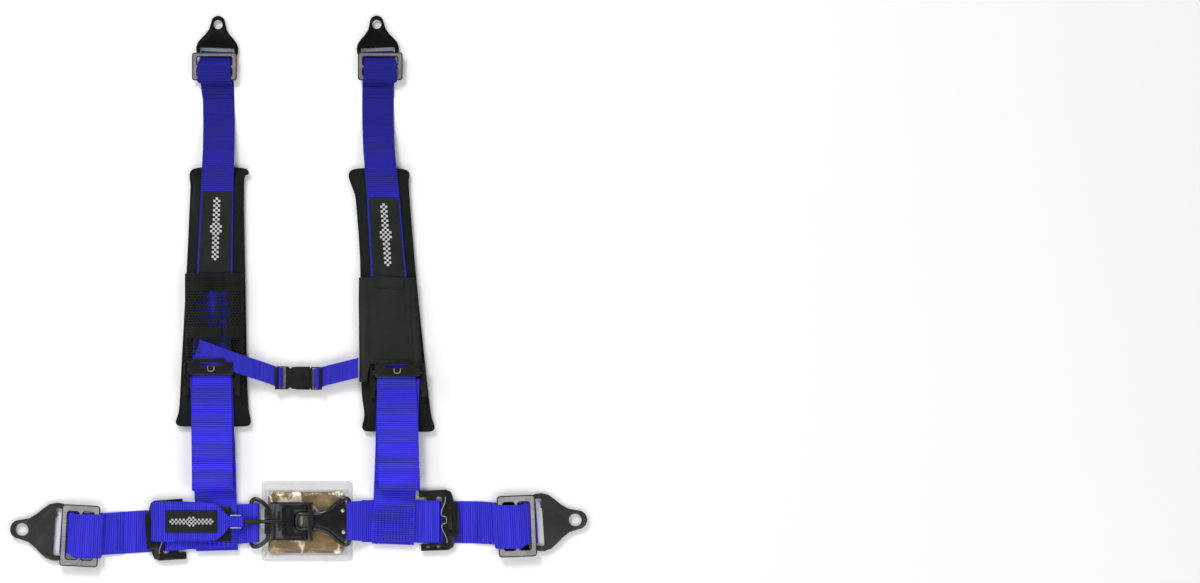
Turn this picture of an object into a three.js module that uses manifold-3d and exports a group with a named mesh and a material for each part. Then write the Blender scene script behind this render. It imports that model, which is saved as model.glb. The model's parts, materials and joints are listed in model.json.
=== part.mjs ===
// Four point racing harness lying flat: two shoulder belts with pads, two lap belts, a chest strap
// with a side release buckle, and a lever latch over a sleeved pad.
// Millimetres. +X runs along the lap belt to the link side, +Y towards the shoulder anchors, +Z up.
import * as THREE from 'three';
import { mergeVertices } from 'three/addons/utils/BufferGeometryUtils.js';
import Module from 'manifold-3d';

const wasm = await Module();
wasm.setup();

// ---------- driving dimensions ----------
const GAP = 0.3;                    // between pieces that touch
const WEB = 1.4;                    // webbing thickness
const LAP_WEB = 50.8;               // two inch lap webbing
const RUN_WEB = 38;                 // shoulder webbing at its anchor
const RUN_WIDENING = 0.2;           // share by which the shoulder webbing is wider at the adjuster
const SHOULDER_SCALE = 0.725;       // shoulder end hardware against the lap hardware
const PLATE = 3;                    // anchor plate thickness
const SLIDE = 2.5;                  // three-bar slide thickness
const PAD = 14;                     // shoulder pad thickness
const SHOULDER_LIFT = 12.6;         // a shoulder adjuster stands this much higher than a lap adjuster
const WIRE = 4;                     // bail and link wire diameter
const SPRING_WIRE = 1.2;

// heights of the webbing middles above the floor
const FLOOR_LAYER = WEB / 2;
const SECOND_LAYER = FLOOR_LAYER + WEB + GAP;
const THIRD_LAYER = SECOND_LAYER + WEB + GAP;
const FOURTH_LAYER = THIRD_LAYER + WEB + GAP;
const PAD_LAYER = PAD + GAP + WEB / 2;
const TOP_RUN = 20.7;               // shoulder webbing where it passes through its adjuster

const LAP_LEFT = { hole: [-334.2, -288], turn: 0 };
const LAP_RIGHT = { hole: [334, -276.5], turn: 180 };
const RUN_LEFT = { hole: [-97.5, 322], turn: -90 };
const RUN_RIGHT = { hole: [94.2, 322.3], turn: -90 };
const LATCH_Y = -278;               // middle line of the latch and the link

const colours = {
  webbing: [0x2a22c8, 0.75, 0], black_steel: [0x242824, 0.45, 0.6], bright_steel: [0x9a918f, 0.35, 0.8],
  pad_cloth: [0x1c201c, 0.95, 0], wrap_cloth: [0x262a28, 0.9, 0], label: [0x2b2d2a, 0.8, 0],
  gold: [0x9a8350, 0.35, 0.3], vinyl: [0xe4e4ea, 0.2, 0], black_plastic: [0x181a1a, 0.5, 0],
  rubber: [0x20241e, 0.8, 0], zinc: [0xc9c6c4, 0.3, 0.8],
};

const harness = new THREE.Group();

// ---------- small tools ----------
const radians = THREE.MathUtils.degToRad;

function group(parent, [x, y], turn = 0, z = 0) {
  const made = new THREE.Group();
  made.position.set(x, y, z);
  made.rotation.z = radians(turn);
  parent.add(made);
  return made;
}

function part(parent, name, geometry, finish) {
  const [color, roughness, metalness] = colours[finish];
  const mesh = new THREE.Mesh(geometry, new THREE.MeshStandardMaterial({ color, roughness, metalness }));
  mesh.name = name;
  parent.add(mesh);
  return mesh;
}

function toSolid(geometry) {
  const bare = geometry.clone();
  bare.deleteAttribute('normal');
  bare.deleteAttribute('uv');
  const merged = mergeVertices(bare, 1e-4);
  const vertProperties = Float32Array.from(merged.attributes.position.array);
  const triVerts = Uint32Array.from(merged.index.array);
  return new wasm.Manifold(new wasm.Mesh({ numProp: 3, vertProperties, triVerts }));
}

function toGeometry(solid) {
  const mesh = solid.getMesh();
  const geometry = new THREE.BufferGeometry();
  geometry.setAttribute('position', new THREE.BufferAttribute(mesh.vertProperties, 3));
  geometry.setIndex(new THREE.BufferAttribute(mesh.triVerts, 1));
  return geometry;
}

function join(...pieces) {
  return toGeometry(pieces.map(toSolid).reduce((whole, piece) => whole.add(piece)));
}

function common(body, other) {
  return toGeometry(toSolid(body).intersect(toSolid(other)));
}

function cut(body, ...tools) {
  return toGeometry(tools.map(toSolid).reduce((whole, tool) => whole.subtract(tool), toSolid(body)));
}

function box(x0, x1, y0, y1, z0, z1) {
  const made = new THREE.BoxGeometry(x1 - x0, y1 - y0, z1 - z0);
  return made.translate((x0 + x1) / 2, (y0 + y1) / 2, (z0 + z1) / 2);
}

// round bar along Y
function barY(x, z, radius, y0, y1, sides = 16) {
  return new THREE.CylinderGeometry(radius, radius, y1 - y0, sides).translate(x, (y0 + y1) / 2, z);
}

function barX(x0, x1, y, z, radius, sides = 12) {
  const made = new THREE.CylinderGeometry(radius, radius, x1 - x0, sides).rotateZ(Math.PI / 2);
  return made.translate((x0 + x1) / 2, y, z);
}

function barZ(x, y, z0, z1, radius, sides = 20) {
  const made = new THREE.CylinderGeometry(radius, radius, z1 - z0, sides).rotateX(Math.PI / 2);
  return made.translate(x, y, (z0 + z1) / 2);
}

function slab(shape, z0, z1, curveSegments = 2) {
  const options = { depth: z1 - z0, bevelEnabled: false, curveSegments };
  return new THREE.ExtrudeGeometry(shape, options).translate(0, 0, z0);
}

function circle(x, y, radius, sides) {
  const points = [];
  for (let i = 0; i < sides; i += 1) {
    const angle = (2 * Math.PI * i) / sides;
    points.push(new THREE.Vector2(x + radius * Math.cos(angle), y + radius * Math.sin(angle)));
  }
  return new THREE.Path(points);
}

function roundedShape(x0, x1, y0, y1, r) {
  const shape = new THREE.Shape();
  shape.moveTo(x0 + r, y0);
  shape.lineTo(x1 - r, y0);
  shape.absarc(x1 - r, y0 + r, r, -Math.PI / 2, 0);
  shape.lineTo(x1, y1 - r);
  shape.absarc(x1 - r, y1 - r, r, 0, Math.PI / 2);
  shape.lineTo(x0 + r, y1);
  shape.absarc(x0 + r, y1 - r, r, Math.PI / 2, Math.PI);
  shape.lineTo(x0, y0 + r);
  shape.absarc(x0 + r, y0 + r, r, Math.PI, 1.5 * Math.PI);
  return shape;
}

// points of an arc in the (along, up) plane, angles in degrees
function arc(cx, cz, radius, from, to, steps = 6) {
  const points = [];
  for (let i = 0; i <= steps; i += 1) {
    const angle = radians(from + ((to - from) * i) / steps);
    points.push([cx + radius * Math.cos(angle), cz + radius * Math.sin(angle)]);
  }
  return points;
}

// straight interpolation in a list of [position, value]
function along(list, x) {
  if (x <= list[0][0]) return list[0][1];
  for (let i = 1; i < list.length; i += 1) {
    const [x1, v1] = list[i];
    const [x0, v0] = list[i - 1];
    if (x <= x1) return v0 + ((v1 - v0) * (x - x0)) / (x1 - x0);
  }
  return list[list.length - 1][1];
}

function moveVertices(geometry, move) {
  const position = geometry.attributes.position;
  for (let i = 0; i < position.count; i += 1) {
    position.setXYZ(i, ...move(position.getX(i), position.getY(i), position.getZ(i)));
  }
  return geometry;
}

// webbing: a strip of even thickness that follows a path in the (along, up) plane, extruded across
function webbing(path, width, thickness = WEB) {
  const upper = [];
  const lower = [];
  path.forEach(([x, z], i) => {
    const [px, pz] = path[Math.max(i - 1, 0)];
    const [nx, nz] = path[Math.min(i + 1, path.length - 1)];
    const before = new THREE.Vector2(x - px, z - pz).normalize();
    const after = new THREE.Vector2(nx - x, nz - z).normalize();
    const middle = before.clone().add(after).normalize();
    const bend = Math.max(middle.dot(i === 0 ? after : before), 0.5);
    const offset = thickness / 2 / bend;
    upper.push(new THREE.Vector2(x - middle.y * offset, z + middle.x * offset));
    lower.push(new THREE.Vector2(x + middle.y * offset, z - middle.x * offset));
  });
  const outline = new THREE.Shape([...upper, ...lower.reverse()]);
  const strip = new THREE.ExtrudeGeometry(outline, { depth: width, bevelEnabled: false });
  return strip.rotateX(Math.PI / 2).translate(0, width / 2, 0);
}

function wire(points, diameter, steps, sides = 8) {
  const section = new THREE.Shape();
  section.absarc(0, 0, diameter / 2, 0, 2 * Math.PI);
  const curve = new THREE.CatmullRomCurve3(points.map((p) => new THREE.Vector3(...p)), false, 'centripetal');
  const options = { steps, extrudePath: curve, curveSegments: sides / 2, bevelEnabled: false };
  return new THREE.ExtrudeGeometry(section, options);
}

// ---------- belt ends: anchor plate, three-bar slide, webbing round both ----------
const BAR_HEIGHT = 2 * FLOOR_LAYER + 2.8;       // middle of the anchor plate's slot bar
const OVER_PLATE = BAR_HEIGHT + 3.5;            // webbing middle above the slot bar
const SLIDE_LOW = OVER_PLATE + WEB / 2 + GAP;
const OVER_SLIDE = SLIDE_LOW + SLIDE + GAP + WEB / 2;

// lengths along the belt from the bolt hole, at lap size
const END = {
  tip: 3, hole: 7.7, tipHalf: 11.5, flareHalf: 35, slotOut: 39.2, bar: 50.2, barHalf: 2, slotHalf: 28.5,
  slideOut: 47.2, slideIn: 93.5, slideHalf: 37.2, band: 7.3, side: 8.6, centreBar: 5, fold: 98, tail: 122,
};

function anchorPlate(scale) {
  const s = (value) => value * scale;
  const inner = s(END.bar) + END.barHalf;
  const shape = new THREE.Shape();
  shape.moveTo(s(-END.tip), s(-END.tipHalf));
  shape.bezierCurveTo(s(18), s(-END.tipHalf - 1), s(24), s(-END.flareHalf), s(39), s(-END.flareHalf));
  shape.bezierCurveTo(s(46), s(-END.flareHalf), inner, s(-34), inner, s(-30));
  shape.lineTo(inner, s(30));
  shape.bezierCurveTo(inner, s(34), s(46), s(END.flareHalf), s(39), s(END.flareHalf));
  shape.bezierCurveTo(s(24), s(END.flareHalf), s(18), s(END.tipHalf + 1), s(-END.tip), s(END.tipHalf));
  shape.absarc(s(-END.tip), 0, s(END.tipHalf), Math.PI / 2, 1.5 * Math.PI);
  const slotIn = s(END.bar) - END.barHalf;
  const slot = roundedShape(s(END.slotOut), slotIn, -s(END.slotHalf), s(END.slotHalf), 1.2);
  shape.holes.push(circle(0, 0, s(END.hole), 24), slot);
  return slab(shape, BAR_HEIGHT - PLATE / 2, BAR_HEIGHT + PLATE / 2, 5);
}

function threeBarSlide(scale) {
  const s = (value) => value * scale;
  const middle = (END.slideOut + END.slideIn) / 2;
  const half = (END.slideIn - END.slideOut) / 2;
  const frame = roundedShape(s(-half), s(half), s(-END.slideHalf), s(END.slideHalf), s(4));
  const side = s(END.slideHalf - END.side);
  const bar = s(END.centreBar) / 2;
  frame.holes.push(roundedShape(s(END.band - half), -bar, -side, side, s(2.5)));
  frame.holes.push(roundedShape(bar, s(half - END.band), -side, side, s(2.5)));
  return { geometry: slab(frame, SLIDE_LOW, SLIDE_LOW + SLIDE, 2), middle: s(middle) };
}

// the path from the short sewn tail, over the slide, round the slot bar and back along the floor
function endPath(scale) {
  const s = (value) => value * scale;
  const fold = s(END.fold);
  const bar = s(END.bar);
  return [
    [s(END.tail), SECOND_LAYER], [fold + 4, SECOND_LAYER],
    ...arc(fold + 2, SECOND_LAYER + 2, 2, 270, 180, 3),
    ...arc(fold - 4, OVER_SLIDE - 4, 4, 0, 90, 5),
    [s(66), OVER_SLIDE], [s(59), OVER_PLATE + 0.9], [s(55), OVER_PLATE],
    ...arc(bar, BAR_HEIGHT, 3.5, 90, 270, 8),
  ];
}

function beltEnd(name, spot, scale, { plateTurn, slideShift, slideTurn }) {
  const frame = group(harness, spot.hole, spot.turn);
  const plate = group(frame, [0, 0], plateTurn);
  part(plate, `anchor_plate_${name}`, anchorPlate(scale), 'black_steel');
  const made = threeBarSlide(scale);
  const slide = group(frame, [made.middle, slideShift], slideTurn);
  part(slide, `slide_${name}`, made.geometry, 'bright_steel');
  return frame;
}

// ---------- webbing parts ----------
// the tail folded over the slide is laid a little aside of the belt under it
function bendBelt(geometry, shifts, fold, spread, widening = () => 1) {
  return moveVertices(geometry, (x, y, z) => {
    const folded = z > OVER_SLIDE - 1.5 && x < fold.before;
    const shift = folded ? fold.shift : along(shifts, x);
    const across = y * (folded ? spread : widening(x));
    return [x - across * along(fold.lean, x), across + shift, z];
  });
}

// how much the belt's cross lines lean, to lie square in the turned plate and slide
function leans(scale, plateTurn, slideTurn) {
  const [plate, slide] = [Math.tan(radians(plateTurn)), Math.tan(radians(slideTurn))];
  return [[53 * scale, plate], [60 * scale, slide], [105 * scale, slide], [130 * scale, 0]];
}

// the outer lap belt passes straight under its adjuster, so it can be drawn through it
function outerLapBelt(name, frame, shifts, foldShift, lean) {
  const straight = shifts.map(([x]) => [x, FLOOR_LAYER]).filter(([x]) => x > 60);
  const belt = webbing([...endPath(1), ...straight], LAP_WEB);
  const fold = { before: 105, shift: foldShift, lean };
  part(frame, `lap_belt_outer_${name}`, bendBelt(belt, shifts, fold, 1.04), 'webbing');
}

// ---------- tilt-lock adjusters: origin on the fixed bar, +X towards the anchor ----------
const FRAME_LOW = SECOND_LAYER + WEB / 2 + GAP;
const FRAME_HIGH = FRAME_LOW + 2;
const LOOP_TOP = FRAME_HIGH + GAP + WEB / 2;
const CHEST_LAYER = TOP_RUN + WEB + GAP;
const LOCK_LOW = CHEST_LAYER + WEB / 2 + GAP - SHOULDER_LIFT;
const BAR_HALF = 6;

function adjusterOutline() {
  const shape = new THREE.Shape();
  shape.moveTo(-15, 28);
  shape.lineTo(-BAR_HALF, 28);
  shape.lineTo(-BAR_HALF, -28);
  shape.lineTo(-15, -28);
  shape.lineTo(-15, -36.5);
  shape.lineTo(18, -36.5);
  shape.quadraticCurveTo(25.5, -35.5, 26, -27);
  shape.lineTo(26, 27);
  shape.quadraticCurveTo(25.5, 35.5, 18, 36.5);
  shape.lineTo(-15, 36.5);
  shape.holes.push(roundedShape(BAR_HALF, 12.5, -28, 28, 1.5));
  return shape;
}

// a raised rib along one side of an adjuster frame
function sideRib(side, y, thickness, x0, x1, top) {
  const [y0, y1] = side > 0 ? [y, y + thickness] : [-y - thickness, -y];
  return box(x0, x1, y0, y1, FRAME_HIGH - 0.5, top);
}

// the inner lap belt is one strip looped round the adjuster's bar and, with some slack, round a latch wire
function innerLapBelt(name, frame, turn, wireX, wireZ, drop, shoulder, aside, slack) {
  const wireLoop = WIRE / 2 + GAP + WEB / 2;
  const barLoop = (LOOP_TOP - SECOND_LAYER) / 2;
  const path = [
    [-41, SECOND_LAYER],
    ...arc(BAR_HALF + 1, SECOND_LAYER + barLoop, barLoop, -90, 90),
    [-BAR_HALF - 1, LOOP_TOP], [-18, THIRD_LAYER], [wireX + drop, THIRD_LAYER],
    ...(slack > 0 ? [[wireX, wireZ + wireLoop]] : []),
    ...arc(wireX - slack, wireZ, wireLoop, 90, 270),
    [wireX - slack + shoulder, wireZ - wireLoop], [wireX + drop + 2, SECOND_LAYER], [-42.5, SECOND_LAYER],
  ];
  // at the wire the belt gathers a little and lies square to the wire
  const belt = moveVertices(webbing(path, LAP_WEB), (x, y, z) => {
    const near = 1 - THREE.MathUtils.smoothstep(x, wireX + 4, wireX + 30);
    return [x + y * near * Math.tan(radians(turn)), y * (1 - 0.09 * near) + aside * near, z];
  });
  part(frame, name, belt, 'webbing');
}

function lapAdjuster(name, frame) {
  const shape = adjusterOutline();
  for (const x of [-6.5, 6.4]) {
    shape.holes.push(roundedShape(x - 2.4, x + 2.4, -33.5, -30.5, 1.4));
  }
  const ribs = [-1, 1].map((side) => sideRib(side, 34.7, 1.6, -14, 16, FRAME_HIGH + 1.6));
  part(frame, `adjuster_frame_${name}`, join(slab(shape, FRAME_LOW, FRAME_HIGH), ...ribs), 'black_steel');
  const lockShape = roundedShape(18.5, 31.7, -22, 22, 2.5);
  lockShape.holes.push(roundedShape(19.8, 24.8, -13.5, 13.5, 2.2));
  const plate = slab(lockShape, FRAME_HIGH + GAP, FRAME_HIGH + GAP + 2);
  const lip = box(28.6, 31.4, -21, 21, WEB + GAP, FRAME_HIGH + 1);
  part(frame, `lock_plate_${name}`, join(plate, lip), 'black_steel');
  const z = FRAME_HIGH + GAP + SPRING_WIRE / 2;
  const half = [[16.5, 28], [17, 24.5], [11.6, 10.5], [11.2, 7], [12.6, 4.8], [15.4, 4.4], [17.2, 3], [17.2, 1]];
  const points = [...half.map(([x, y]) => [x, y, z]), ...half.toReversed().map(([x, y]) => [x, -y, z])];
  part(frame, `lock_spring_${name}`, wire(points, SPRING_WIRE, 40, 6), 'zinc');
}

function shoulderAdjuster(name, spot, turn) {
  const frame = group(harness, spot, turn, SHOULDER_LIFT);
  const flangeTop = TOP_RUN - SHOULDER_LIFT;
  const flanges = [-1, 1].map((side) => sideRib(side, 31, 2, -14.5, 24, flangeTop));
  const edges = [-1, 1].map((side) => sideRib(side, 33.8, 4, -16, 27, FRAME_HIGH + 9).translate(0, 0, -3));
  const frameShape = cut(join(slab(adjusterOutline(), FRAME_LOW, FRAME_HIGH), ...flanges), ...edges);
  part(frame, `adjuster_frame_${name}`, frameShape, 'black_steel');
  const shape = new THREE.Shape();
  const outline = [[10, -26.5], [25, -26.5], [25, -17], [29.7, -16.5], [29.7, 21], [25, 21.5], [25, 26.5], [10, 26.5]];
  outline.forEach(([x, y], i) => (i === 0 ? shape.moveTo(x, y) : shape.lineTo(x, y)));
  shape.holes.push(roundedShape(20.7, 24.6, -13, 13, 1.2));
  part(frame, `lock_plate_${name}`, slab(shape, LOCK_LOW, LOCK_LOW + 2), 'black_steel');
  part(frame, `lock_bar_${name}`, box(13, 17, -30.5, 30.5, FRAME_HIGH + 0.4, FRAME_HIGH + 1.6), 'black_steel');
  const z = LOCK_LOW + 2 + GAP + SPRING_WIRE / 2;
  const side = [[20, 3.8], [17, 3.8], [14.7, 2.8], [14.2, 0]];
  const points = [...side.map(([x, y]) => [x, y, z]), ...side.slice(0, 3).toReversed().map(([x, y]) => [x, -y, z])];
  part(frame, `lock_spring_${name}`, wire(points, SPRING_WIRE, 16, 6), 'zinc');
}

// ---------- shoulder belts ----------
// one webbing from the anchor, over the pad and through the adjuster to its folded pull tail
function shoulderBelt(name, frame, shifts, foldShift, lean) {
  const turn = 4.6;
  const path = [
    ...endPath(SHOULDER_SCALE), [95, FLOOR_LAYER], [120, 3.5], [150, 12.4], [165, PAD_LAYER],
    [209, PAD_LAYER], [300, PAD_LAYER], [352, PAD_LAYER], [372, PAD_LAYER + 1.6], [392, TOP_RUN - 1],
    [410, TOP_RUN], [440, TOP_RUN], [480, TOP_RUN],
    ...arc(558, TOP_RUN - turn, turn, 90, -90, 8), [535, TOP_RUN - 2 * turn],
  ];
  const grow = THREE.MathUtils.smoothstep;
  const widening = (x) => 1 + RUN_WIDENING * grow(x, 120, 430) + 0.1 * grow(x, 400, 480);
  const fold = { before: 76, shift: foldShift, lean };
  part(frame, `shoulder_belt_${name}`, bendBelt(webbing(path, RUN_WEB), shifts, fold, 1.06, widening), 'webbing');
}

function beltLabel(name, frame, from, to, shifts) {
  const z = PAD_LAYER + WEB / 2 + GAP;
  const shape = new THREE.Shape();
  const [halfTop, halfLow] = [17.5, 19.2];
  shape.moveTo(from + 2, -halfTop);
  shape.quadraticCurveTo(from - 1.5, 0, from + 2, halfTop);
  shape.lineTo(to, halfLow);
  shape.lineTo(to, -halfLow);
  const label = moveVertices(slab(shape, z, z + 0.8, 8), (x, y, up) => [x, y + along(shifts, x), up]);
  part(frame, `shoulder_label_${name}`, label, 'label');
}

// sewn flat over the inner lap belt, then up over the pad and round the adjuster's bar at barX
function lowerShoulderBelt(name, spot, turn, barX) {
  const frame = group(harness, spot, turn);
  const low = PAD_LAYER;
  const loop = (LOOP_TOP + SHOULDER_LIFT - low) / 2;
  const path = [
    [0, FOURTH_LAYER], [58, FOURTH_LAYER], [barX - 76, FOURTH_LAYER + 1], [barX - 60, low],
    ...arc(barX + BAR_HALF + 1, low + loop, loop, -90, 90),
    [barX - BAR_HALF - 1, low + 2 * loop], [barX - 20, low + WEB + GAP], [barX - 40, low + WEB + GAP],
  ];
  part(frame, `lower_shoulder_belt_${name}`, webbing(path, LAP_WEB), 'webbing');
}

// ---------- pads and their covers ----------
function shoulderPad(name, points) {
  const curve = new THREE.SplineCurve(points.map((p) => new THREE.Vector2(...p)));
  const shape = new THREE.Shape(curve.getPoints(points.length * 3));
  const made = new THREE.ExtrudeGeometry(shape, { depth: PAD, steps: 3, bevelEnabled: false });
  made.computeBoundingBox();
  const centre = made.boundingBox.getCenter(new THREE.Vector3());
  const size = made.boundingBox.getSize(new THREE.Vector3());
  // the two faces are drawn in a little, so the edges are rounded
  moveVertices(made, (x, y, z) => {
    const inset = z < 0.1 || z > PAD - 0.1 ? 2.5 : 0;
    const narrow = 1 - (2 * inset) / size.x;
    const shorten = 1 - (2 * inset) / size.y;
    return [centre.x + (x - centre.x) * narrow, centre.y + (y - centre.y) * shorten, z];
  });
  part(harness, `shoulder_pad_${name}`, made, 'pad_cloth');
}

// a cover over the belt: two low walls on the pad carry a roof whose height follows the belt
function cover(name, frame, roof, half, shape, finish) {
  const wall = 1.2;
  const top = webbing(roof.map(([x, z]) => [x, z + wall / 2]), 2 * half, wall);
  const [x0] = roof[0];
  const [x1] = roof[roof.length - 1];
  const profile = new THREE.Shape();
  profile.moveTo(x0, PAD + GAP);
  roof.forEach(([x, z]) => profile.lineTo(x, z + wall / 2));
  profile.lineTo(x1, PAD + GAP);
  const walls = [half, -half + wall].map((y) => {
    const side = new THREE.ExtrudeGeometry(profile, { depth: wall, bevelEnabled: false });
    return side.rotateX(Math.PI / 2).translate(0, y, 0);
  });
  const pieces = [top, ...walls].map((piece) => moveVertices(piece, shape));
  part(frame, name, join(...pieces), finish);
}

// ---------- latch, lever, pull tab and link ----------
const BASE_LOW = 6.6;
const BASE_HIGH = BASE_LOW + 2;
const LINK_Z = BASE_HIGH + GAP + WIRE / 2;
const PIVOT = [8, 13.5];
const ROD_Z = 13.7;
const BAIL_BLOCK_X = -36.9;
const BAIL_Z = 10.2;

function latchBody(frame) {
  const pieces = [
    box(-33.5, 17.5, -23.2, 23.2, BASE_LOW, BASE_HIGH),
    box(-40.8, -33, -15, 15, BASE_LOW, 13.8),
    box(-30.5, -27.7, -23, 23, BASE_HIGH - 0.5, BASE_HIGH + 2),
    box(-25, -22.6, -12, 12, BASE_HIGH - 0.5, BASE_HIGH + 1.2),
    box(12, 17.5, -23.2, 23.2, 15.5, 18.5),
  ];
  for (const y of [-23.2, 20.7]) {
    pieces.push(box(-33.5, 17.5, y, y + 2.5, BASE_LOW, 11.5), box(3, 17.5, y, y + 2.5, BASE_HIGH, 16));
  }
  const openings = [
    barY(BAIL_BLOCK_X, BAIL_Z, WIRE / 2 + GAP + 0.1, -16, 16),
    barY(...PIVOT, 1.8, -24, 24),
    slab(roundedShape(2, 11.4, -6.5, 6.5, 2.5), BASE_LOW - 1, BASE_HIGH + 1),
    box(-42, -32, -3.2, 3.2, 10.9, 15),
  ];
  part(frame, 'latch_body', cut(join(...pieces), ...openings), 'black_steel');
}

function bail(frame) {
  const low = SECOND_LAYER + WEB / 2 + GAP + WIRE / 2;
  const half = [
    [BAIL_BLOCK_X, 4.2, BAIL_Z], [BAIL_BLOCK_X, 10, BAIL_Z], [BAIL_BLOCK_X, 17.5, BAIL_Z], [-39.5, 21.5, 9.6],
    [-47.5, 27.5, 7.5], [-53.6, 29, 6], [-57, 26.2, low], [-57, 13, low],
  ];
  const points = [...half, [-57, 0, low], ...half.toReversed().map(([x, y, z]) => [x, -y, z])];
  part(frame, 'latch_bail', wire(points, WIRE - 0.2, 56, 8), 'black_steel');
}

function lever(frame) {
  const [px, pz] = PIVOT;
  const head = roundedShape(-19.8, -5.3, -19.2, 19.2, 5);
  head.holes.push(roundedShape(-14.6, -10.6, 4, 15, 1.8), roundedShape(-14.6, -10.6, -15, -4, 1.8));
  const pieces = [slab(head, 12.2, 15.6), barX(-46, -18, 0, ROD_Z, 2.2)];
  for (const y of [-18, 14.5]) {
    pieces.push(box(-12, px, y, y + 3.5, 12.2, 15.2), barY(px, pz, 3.5, y, y + 3.5));
  }
  pieces.push(barX(-64.3, -45, 0, ROD_Z, 2));
  part(frame, 'latch_lever', cut(join(...pieces), barY(px, pz, 1.8, -24, 24)), 'black_steel');
  part(frame, 'lever_sleeve', cut(barX(-64, -46.4, 0, ROD_Z, 3.2), barX(-66, -45, 0, ROD_Z, 2.3)), 'rubber');
  part(frame, 'lever_pin_rear', barY(px, pz, 1.5, 14.3, 23.5, 12), 'black_steel');
  part(frame, 'lever_pin_front', barY(px, pz, 1.5, -23.5, -14.3, 12), 'black_steel');
}

function pullTab(frame) {
  const low = 9;
  const thick = 2.8;
  // the webbing is cut to a neck, a little later along its rear edge
  const rear = [
    [-177.5, 23], [-175, 24.6], [-150, 24.4], [-122, 23.6], [-108, 22.8], [-101, 21.9], [-98, 20.2],
    [-94.5, 17], [-88, 10.6], [-84.5, 7.2], [-82.4, 6.6], [-66.4, 6],
  ];
  const front = [
    [-66.4, -6], [-82.4, -6.6], [-84.5, -8], [-87.5, -12.2], [-94, -19.2], [-101, -23.4], [-112, -24.3],
    [-150, -24.4], [-175, -24.6], [-177.5, -23],
  ];
  const outline = [...rear, ...front].map((p) => new THREE.Vector2(...p));
  const middle = low + thick / 2;
  const rise = 3.3;
  const folded = webbing([[-178, middle], [-95, middle], [-84, middle + rise], [-65, middle + rise]], 60, thick);
  part(frame, 'pull_tab', common(folded, slab(new THREE.Shape(outline), 0, 30)), 'webbing');
  const labelLow = low + thick + GAP;
  const label = slab(roundedShape(-160.4, -97.5, -13.5, 13.5, 0.5), labelLow, labelLow + 0.8);
  part(frame, 'tab_label', label, 'label');
  const clip = cut(box(-82, -69, -8, 8, 11, 15.6), box(-83, -68, -7, 7, 12, 17));
  part(frame, 'tab_clip', clip, 'zinc');
}

function link(frame) {
  const half = [[-2.9, 3], [-2.2, 6.6], [1.5, 9], [8, 9.4], [26, 9.6], [36, 13], [48, 23.5], [55, 28], [60, 27.5], [61.5, 24.5], [61.5, 12]];
  const back = half.map(([x, y]) => [x, y, LINK_Z]);
  const front = half.toReversed().map(([x, y]) => [x, -y, LINK_Z]);
  const points = [[61.5, 0.4, LINK_Z], ...back.toReversed(), [-2.9, 0, LINK_Z], ...front.toReversed(), [61.5, -0.4, LINK_Z]];
  part(frame, 'link_rim', wire(points, WIRE - 0.2, 70, 8), 'black_steel');
  const inner = [[19, 7], [27, 7.2], [36, 10], [46, 18], [53, 23.6], [57.2, 24.4]];
  const outline = [...inner, ...inner.toReversed().map(([x, y]) => [x, -y])].map((p) => new THREE.Vector2(...p));
  const plate = slab(new THREE.Shape(outline), LINK_Z - 1, LINK_Z + 1);
  const rivetSpots = [[53.5, 13], [54.5, -13]];
  const holes = rivetSpots.map(([x, y]) => barZ(x, y, LINK_Z - 2, LINK_Z + 2, 2));
  part(frame, 'link_plate', cut(plate, ...holes), 'black_steel');
  rivetSpots.forEach(([x, y], i) => {
    const profile = [[0, -1.2], [1.7, -1.2], [1.7, 1.3], [2.4, 1.3], [1.7, 2.2], [0, 2.5]].map((p) => new THREE.Vector2(...p));
    const rivet = new THREE.LatheGeometry(profile, 16).rotateX(Math.PI / 2);
    part(frame, `link_rivet_${i + 1}`, rivet.translate(x, y, LINK_Z), 'zinc');
  });
}

function latchPad(frame) {
  const skin = 0.6;
  const body = slab(roundedShape(-44.8, 64.6, -48, 48, 3), 0, 5.8);
  const pocket = box(-41, 61, -47, 43, skin, 5.8 - skin);
  const mouth = box(-40.5, 60.5, -50, -40, skin, 5.8 - skin);
  part(frame, 'vinyl_sleeve', cut(body, join(pocket, mouth)), 'vinyl');
  const insert = slab(roundedShape(-40, 57.2, -40.6, 37.5, 5.5), skin + GAP, 5.8 - skin - GAP);
  part(frame, 'padded_insert', insert, 'gold');
}

// ---------- chest strap and side release buckle ----------
const CHEST_WEB = 24;
const BUCKLE_LOW = 2;
const BUCKLE_HIGH = 11;

function chestStraps(frame) {
  const over = BUCKLE_HIGH + GAP + WEB / 2;
  const leftPath = [
    [-122, CHEST_LAYER], [-72, CHEST_LAYER], [-61, 18.6], [-46, 13], [-36, over], [-23.5, over],
    ...arc(-23.5, over - 3.5, 3.5, 75, 0, 4), [-20, 4],
  ];
  const leftShift = [[-122, 32.6], [-30, 2.8], [-24, 0.3], [-20, 0]];
  const lean = (x) => 0.29 * (1 - THREE.MathUtils.smoothstep(x, -122, -60));
  const left = moveVertices(webbing(leftPath, CHEST_WEB), (x, y, z) => [x + lean(x) * y, y + along(leftShift, x), z]);
  part(frame, 'chest_strap_left', left, 'webbing');
  const rightPath = [
    [19.4, 4], ...arc(22.9, over - 3.5, 3.5, 180, 105, 4), [22.9, over], [36, over], [50, over + 0.6], [72.3, 16.6],
  ];
  const rightShift = [[19, 0], [24, 0.3], [30, 2.6], [72.3, 14]];
  const right = moveVertices(webbing(rightPath, CHEST_WEB), (x, y, z) => [x, y + along(rightShift, x), z]);
  part(frame, 'chest_strap_right', right, 'webbing');
}

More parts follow.
